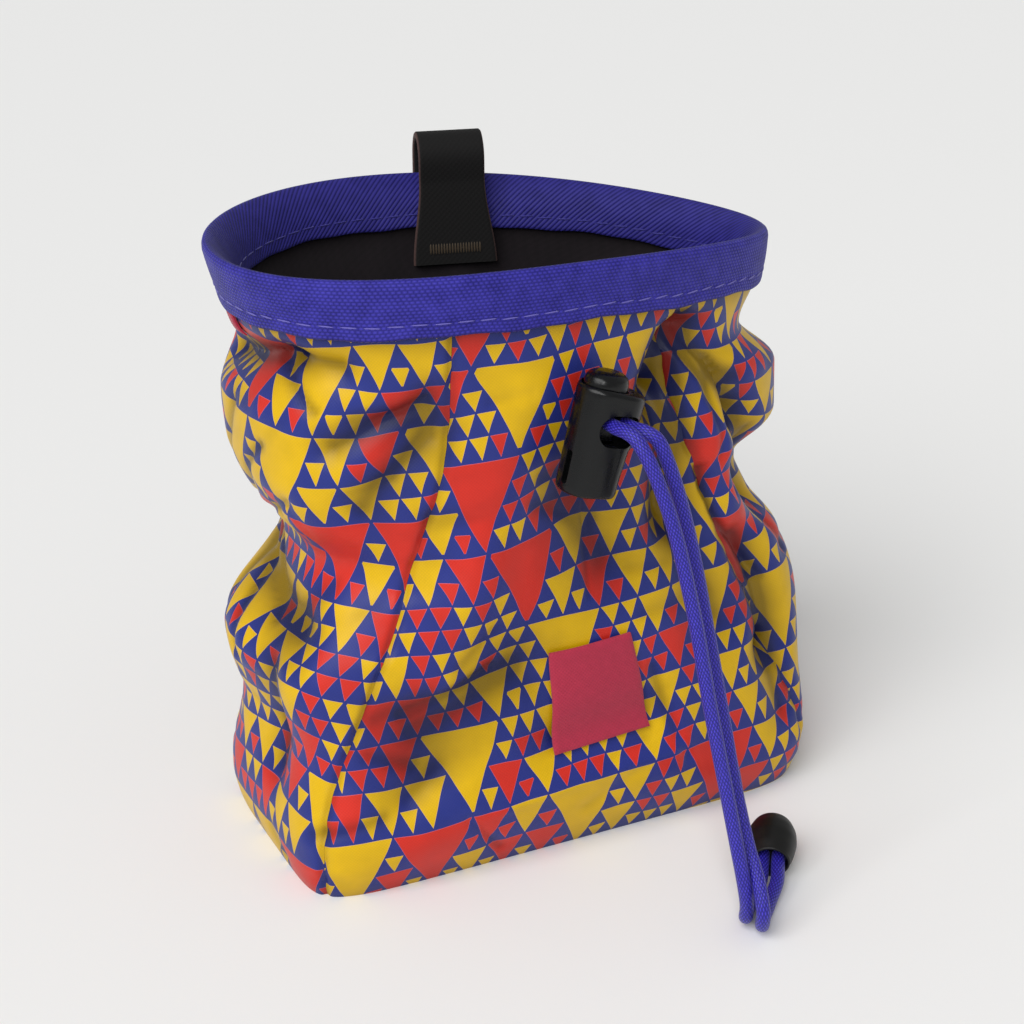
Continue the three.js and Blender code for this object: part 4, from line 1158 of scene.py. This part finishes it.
def loftedBlock(width, depth, corner, low, high, bevel, steps=4, rows=24):
    # a rounded block whose two ends are rounded over
    bottom, top = [], []
    for a in pi / 2 * np.arange(steps + 1) / steps:
        inset = bevel * (1 - math.sin(a))
        lift = bevel * (1 - math.cos(a))
        ring = roundedRing(width - 2 * inset, depth - 2 * inset, max(corner - inset, 0.05))
        bottom += stackRings(ring, [low + lift])
        top += stackRings(ring, [high - lift])
    body = stackRings(roundedRing(width, depth, corner), np.linspace(low + bevel, high - bevel, rows)[1:-1])
    return np.array(bottom + body + top[::-1])


def lockSeat():
    # the lock's back lies against the cloth that stands out furthest behind its flat middle
    foremost = 0.0
    for z in np.arange(lock["z"] - 10.7, lock["z"] + 10.7, 1.0):
        point = wallRow(z / tall, "front_panel", np.arange(0.1, 0.9, 0.01))["point"]
        dx = point[:, 0] - lock["x"]
        dz = point[:, 2] - lock["z"]
        u = dx * math.cos(lean) - dz * math.sin(lean)
        v = dx * math.sin(lean) + dz * math.cos(lean)
        behind = (np.abs(u) < lock["flat"]) & (np.abs(v) < lockTop)
        if behind.any():
            foremost = min(foremost, point[behind, 1].min())
    return foremost - bag["layerGap"] - lock["thickness"] / 2


lockMiddle = np.array([lock["x"], lockSeat(), lock["z"]])


def lockBlock(name, rings):
    # a closed block in the lock's own axes, leant and moved to its place
    x, y, z = np.moveaxis(rings, -1, 0)
    placed = (x * math.cos(lean) + z * math.sin(lean), y, z * math.cos(lean) - x * math.sin(lean))
    return tubeObject(name, np.stack(placed, axis=-1) + lockMiddle, acetal, 35)


def combine(made, others, operation):
    # joins or cuts closed meshes exactly, and leaves one plain mesh
    for other in others:
        cut = made.modifiers.new("cut", "BOOLEAN")
        cut.operation = operation
        cut.object = other
        cut.solver = "EXACT"
    mesh = plainMesh(made)
    for other in others:
        bpy.data.objects.remove(other)
    shadeSmooth(mesh, 35)


def softenEdges(made, width):
    # a small bevel on every sharp edge, as a mould leaves
    bevel = made.modifiers.new("bevel", "BEVEL")
    bevel.width = width * mm
    bevel.segments = 2
    bevel.limit_method = "ANGLE"
    bevel.angle_limit = math.radians(40)
    bevel.harden_normals = True
    plainMesh(made)


def makeLock():
    block = loftedBlock(lock["width"], lock["thickness"], lock["corner"], -lockTop, lockTop, lock["bevel"])
    x, z = block[:, :, 0].copy(), block[:, :, 2].copy()
    halfWidth = lock["width"] / 2
    up = ease((z + lockTop) / lock["length"])
    block[:, :, 0] = x - lock["draft"] * lock["width"] * (1 - up) * np.maximum(x / halfWidth, 0)
    block[:, :, 2] = np.where(z > 0, z - lock["shoulderDrop"] * ease((x + halfWidth / 2) / lock["width"]), z)
    block[:, :, 1] *= 1 - lock["crown"] * (x / halfWidth) ** 2
    body = lockBlock("cord_lock_shell", block)
    room = 2 * lock["clearance"]
    recessFloor = lockTop - button["sink"] - button["travel"] - bag["layerGap"]
    boreFloor = lockTop - button["stemLength"] - button["travel"] - bag["layerGap"]
    across = (button["across"], 0)
    oval = ovalRing(button["width"] + room, button["thickness"] + room, 48) + across
    stem = roundedRing(button["stemWidth"] + room, button["stemThickness"] + room, 1.0, 4) + across
    high = lock["windowHeight"]
    arch = roundedRing(lock["windowWidth"], high, high / 2 - 0.2, 7)
    arch = arch + (lock["windowAcross"], lock["windowUp"])
    front = -lock["thickness"] / 2
    groove = roundedRing(lock["slotWidth"], lock["slotHeight"], 0.7, 5)
    groove = groove + (lock["slotAcross"], lock["slotUp"] - lockTop)
    cutters = [
        np.array(stackRings(oval, (recessFloor, lockTop + 2))),
        np.array(stackRings(stem, (boreFloor, recessFloor + 0.5))),
        np.array(stackRings(arch, (front + lock["windowDepth"], front - 1)))[:, :, [0, 2, 1]],
        np.array(stackRings(groove, (-halfWidth - 1, -halfWidth + lock["slotDepth"])))[:, :, [2, 0, 1]],
    ]
    combine(body, [lockBlock("cut", shape) for shape in cutters], "DIFFERENCE")
    softenEdges(body, lock["edge"])
    dress(body, "cord_lock_body")


def makeButton():
    low = lockTop - button["sink"]
    rise = button["sink"] + button["proud"]
    radius = button["width"] / 2
    knots = ((0.995, 0.0), (1.0, 0.02), (1.0, 0.36), (0.93, 0.66), (0.74, 0.87), (0.42, 0.98), (0.01, 1.0))
    profile = [(0.02, 0.0), *(smoothLine(np.array(knots) * (radius, rise), 36) / (radius, rise))]
    rings = []
    for share, up in profile:
        oval = ovalRing(button["width"] * share, button["thickness"] * share, 56) + (button["across"], 0)
        rings += stackRings(oval, [low + up * rise])
    dome = lockBlock("cord_lock_plunger", np.array(rings))
    foot = lockTop - button["stemLength"]
    stem = loftedBlock(button["stemWidth"], button["stemThickness"], 1.0, foot, low + 1, 0.25, 3, 6)
    stem = stem + (button["across"], 0, 0)
    combine(dome, [lockBlock("join", stem)], "UNION")
    dress(dome, "cord_lock_button", "button")


makeLock()
makeButton()
print("lock made")


# Stitches: one thread shape set on each needle step of a seam
rimSeam = {"long": 3.6, "thread": 0.15, "out": outerFace - 0.04, "in": -4.35}
loopSeam = {"long": 2.6, "thread": 0.24}


def stitchTree():
    tree = bpy.data.node_groups.new("stitches", "GeometryNodeTree")
    kinds = {"Geometry": "Geometry", "Stitch length": "Float", "Thread radius": "Float", "Thread": "Material"}
    for name, kind in kinds.items():
        tree.interface.new_socket(name, in_out="INPUT", socket_type="NodeSocket" + kind)
    tree.interface.new_socket("Geometry", in_out="OUTPUT", socket_type="NodeSocketGeometry")
    points, long, radius, thread = addNode(tree, "NodeGroupInput").outputs[:4]
    ball = addNode(tree, "GeometryNodeMeshUVSphere", {"Segments": 8, "Rings": 7, "Radius": 1.0})
    half = addNode(tree, "Math", [long, 0.5], operation="MULTIPLY")
    size = addNode(tree, "CombineXYZ", [half, radius, radius])
    shape = addNode(tree, "GeometryNodeTransform", {"Geometry": ball, "Scale": size})
    ways = [
        addNode(tree, "GeometryNodeInputNamedAttribute", {"Name": name}, data_type="FLOAT_VECTOR")
        for name in ("along", "outward")
    ]
    turn = addNode(tree, "FunctionNodeAxesToRotation", ways, primary_axis="X", secondary_axis="Z")
    copies = addNode(
        tree, "GeometryNodeInstanceOnPoints", {"Points": points, "Instance": shape, "Rotation": turn},
    )
    real = addNode(tree, "GeometryNodeRealizeInstances", [copies])
    smooth = addNode(tree, "GeometryNodeSetShadeSmooth", [real])
    finish = addNode(tree, "GeometryNodeSetMaterial", {"Geometry": smooth, "Material": thread})
    addNode(tree, "NodeGroupOutput", [finish])
    return tree


stitches = stitchTree()


def stitchSeam(name, points, alongs, outwards, seam, material):
    mesh = bpy.data.meshes.new(name)
    mesh.from_pydata(toFrame(points).tolist(), [], [])
    for label, ways in (("along", alongs), ("outward", outwards)):
        layer = mesh.attributes.new(label, "FLOAT_VECTOR", "POINT")
        layer.data.foreach_set("vector", np.asarray(ways, np.float32).ravel())
    made = addObject(name, mesh)
    modifier = made.modifiers.new("stitches", "NODES")
    modifier.node_group = stitches
    values = {"Stitch length": seam["long"] * mm, "Thread radius": seam["thread"] * mm, "Thread": material}
    for socket in stitches.interface.items_tree:
        if socket.in_out == "INPUT" and socket.name in values:
            modifier[socket.identifier] = values[socket.name]
    plainMesh(made)
    dress(made)


def rimStitches(name, out, drop, side, material):
    row = ringRow(1 - drop / tall, rimCounts, out)
    around = row["round"]
    count = round(around[-1] / tape["stitchPitch"])
    spots = (np.arange(count) + 0.5) * around[-1] / count
    point, along, outward = [
        pick(spots, around, np.concatenate([row[key], row[key][:1]])) for key in ("point", "along", "outward")
    ]
    turns = np.interp(spots, around, np.append(row["turns"], row["turns"][-1] + 1 / len(row["turns"])))
    point[:, 2] += rimWave(turns, drop)
    stitchSeam(name, point, along, outward * side, rimSeam, material)


rimStitches("rim_stitches_outside", rimSeam["out"], tape["outside"] - tape["stitchUp"], 1, thread)
rimStitches("rim_stitches_inside", rimSeam["in"], tape["inside"] - tape["stitchUp"], -1, darkThread)
for place, (points, alongs, outwards) in loopSeams.items():
    stitchSeam("loop_stitches_" + place, points, alongs, outwards, loopSeam, loopThread)
print("stitches made")


# Label and side tab
label = {
    "panel": "front_panel", "across": 3.3, "up": 37.0, "width": 21.2, "height": 22.6, "thickness": 0.8,
    "gap": 0.7, "turn": -4.5, "crown": 0.1, "columns": 40, "rows": 46,
}
tab = {
    "panel": "gusset_left", "across": 0.0, "up": tall - tape["outside"] - bag["layerGap"] - 2.5,
    "width": 4.0, "height": 5.0, "thickness": 0.8, "gap": bag["layerGap"], "turn": 0.0, "crown": 0.05,
    "columns": 12, "rows": 14,
}


def makePatch(name, node, piece):
    length = panelLines(piece["up"] / tall)[1][piece["panel"]]["length"]
    slant = -math.radians(piece["turn"])
    outer, inner, cloth = [], [], []
    for r in np.linspace(-0.5, 0.5, piece["rows"] + 1):
        for c in np.linspace(-0.5, 0.5, piece["columns"] + 1):
            x, z = c * piece["width"], r * piece["height"]
            dx = x * math.cos(slant) - z * math.sin(slant)
            dz = x * math.sin(slant) + z * math.cos(slant)
            across = np.array([0.5 + (piece["across"] + dx) / length])
            edge = min((0.5 - abs(c)) * piece["width"], (0.5 - abs(r)) * piece["height"])
            swell = piece["crown"] * (1 - math.exp(-edge / 3.0)) - 0.3 * math.exp(-edge / 0.25)
            row = wallRow((piece["up"] + dz) / tall, piece["panel"], across, piece["gap"])
            outer.append(row["point"][0] + row["outward"][0] * (piece["thickness"] + swell))
            inner.append(row["point"][0])
            cloth.append((x, z))
    grid = (piece["rows"] + 1, piece["columns"] + 1, -1)
    outer, inner = np.reshape(outer, grid), np.reshape(inner, grid)
    dress(wallObject(name, outer, inner, cloth, labelCloth), node)


makePatch("label_cloth", "label_patch", label)
makePatch("side_tab_cloth", "side_tab", tab)
print("label and tab made")


# Stage: a pale floor, a soft key light from the upper left and a fill
light = {
    "sky": 0.42, "sun": 2.2, "spread": 46.0, "from": (-0.62, -0.36, 0.72),
    "box": (-0.45, -0.85, 0.6), "boxSize": 0.25, "watts": 1.6,  # metres
}
camera = {
    "distance": 0.5, "elevation": 25.0, "azimuth": -26.0, "focal": 2300.0, "target": (-3.5, -10.2, 70.0),
}
scene = bpy.context.scene


def makeStage():
    floor = bpy.data.meshes.new("floor")
    floor.from_pydata([(-6, -6, 0), (6, -6, 0), (6, 6, 0), (-6, 6, 0)], [], [(0, 1, 2, 3)])
    paper = newMaterial("pale_paper", Base_Color=linear("#F0F0EF"), Roughness=0.9, Specular_IOR_Level=0.2)[0]
    floor.materials.append(paper)
    addObject("floor", floor)


def makeLights():
    scene.world = bpy.data.worlds.new("studio")
    scene.world.use_nodes = True
    background = scene.world.node_tree.nodes["Background"]
    background.inputs["Color"].default_value = linear("#FFFFFF")
    background.inputs["Strength"].default_value = light["sky"]
    sun = bpy.data.lights.new("key", "SUN")
    sun.angle = math.radians(light["spread"])
    sun.energy = light["sun"]
    lamp = addObject("key", sun)
    lamp.rotation_euler = Vector(light["from"]).to_track_quat("Z", "Y").to_euler()
    box = bpy.data.lights.new("softbox", "AREA")
    box.shape = "DISK"
    box.size = light["boxSize"]
    box.energy = light["watts"]
    lamp = addObject("softbox", box)
    lamp.location = light["box"]
    lamp.rotation_euler = (Vector((0.0, 0.0, 0.08)) - lamp.location).to_track_quat("-Z", "Y").to_euler()


def makeCamera():
    data = bpy.data.cameras.new("camera")
    data.sensor_width = 36.0
    data.lens = camera["focal"] * data.sensor_width / 1024  # the picture's width in pixels
    e = math.radians(camera["elevation"])
    a = math.radians(camera["azimuth"])
    back = Vector((math.sin(a) * math.cos(e), -math.cos(a) * math.cos(e), math.sin(e)))
    eye = addObject("camera", data)
    eye.location = Vector(toFrame(camera["target"])) + back * camera["distance"]
    eye.rotation_euler = (-back).to_track_quat("-Z", "Y").to_euler()
    scene.camera = eye
    scene.view_settings.view_transform = "Standard"


makeStage()
makeLights()
makeCamera()
print("stage, lights and camera made")
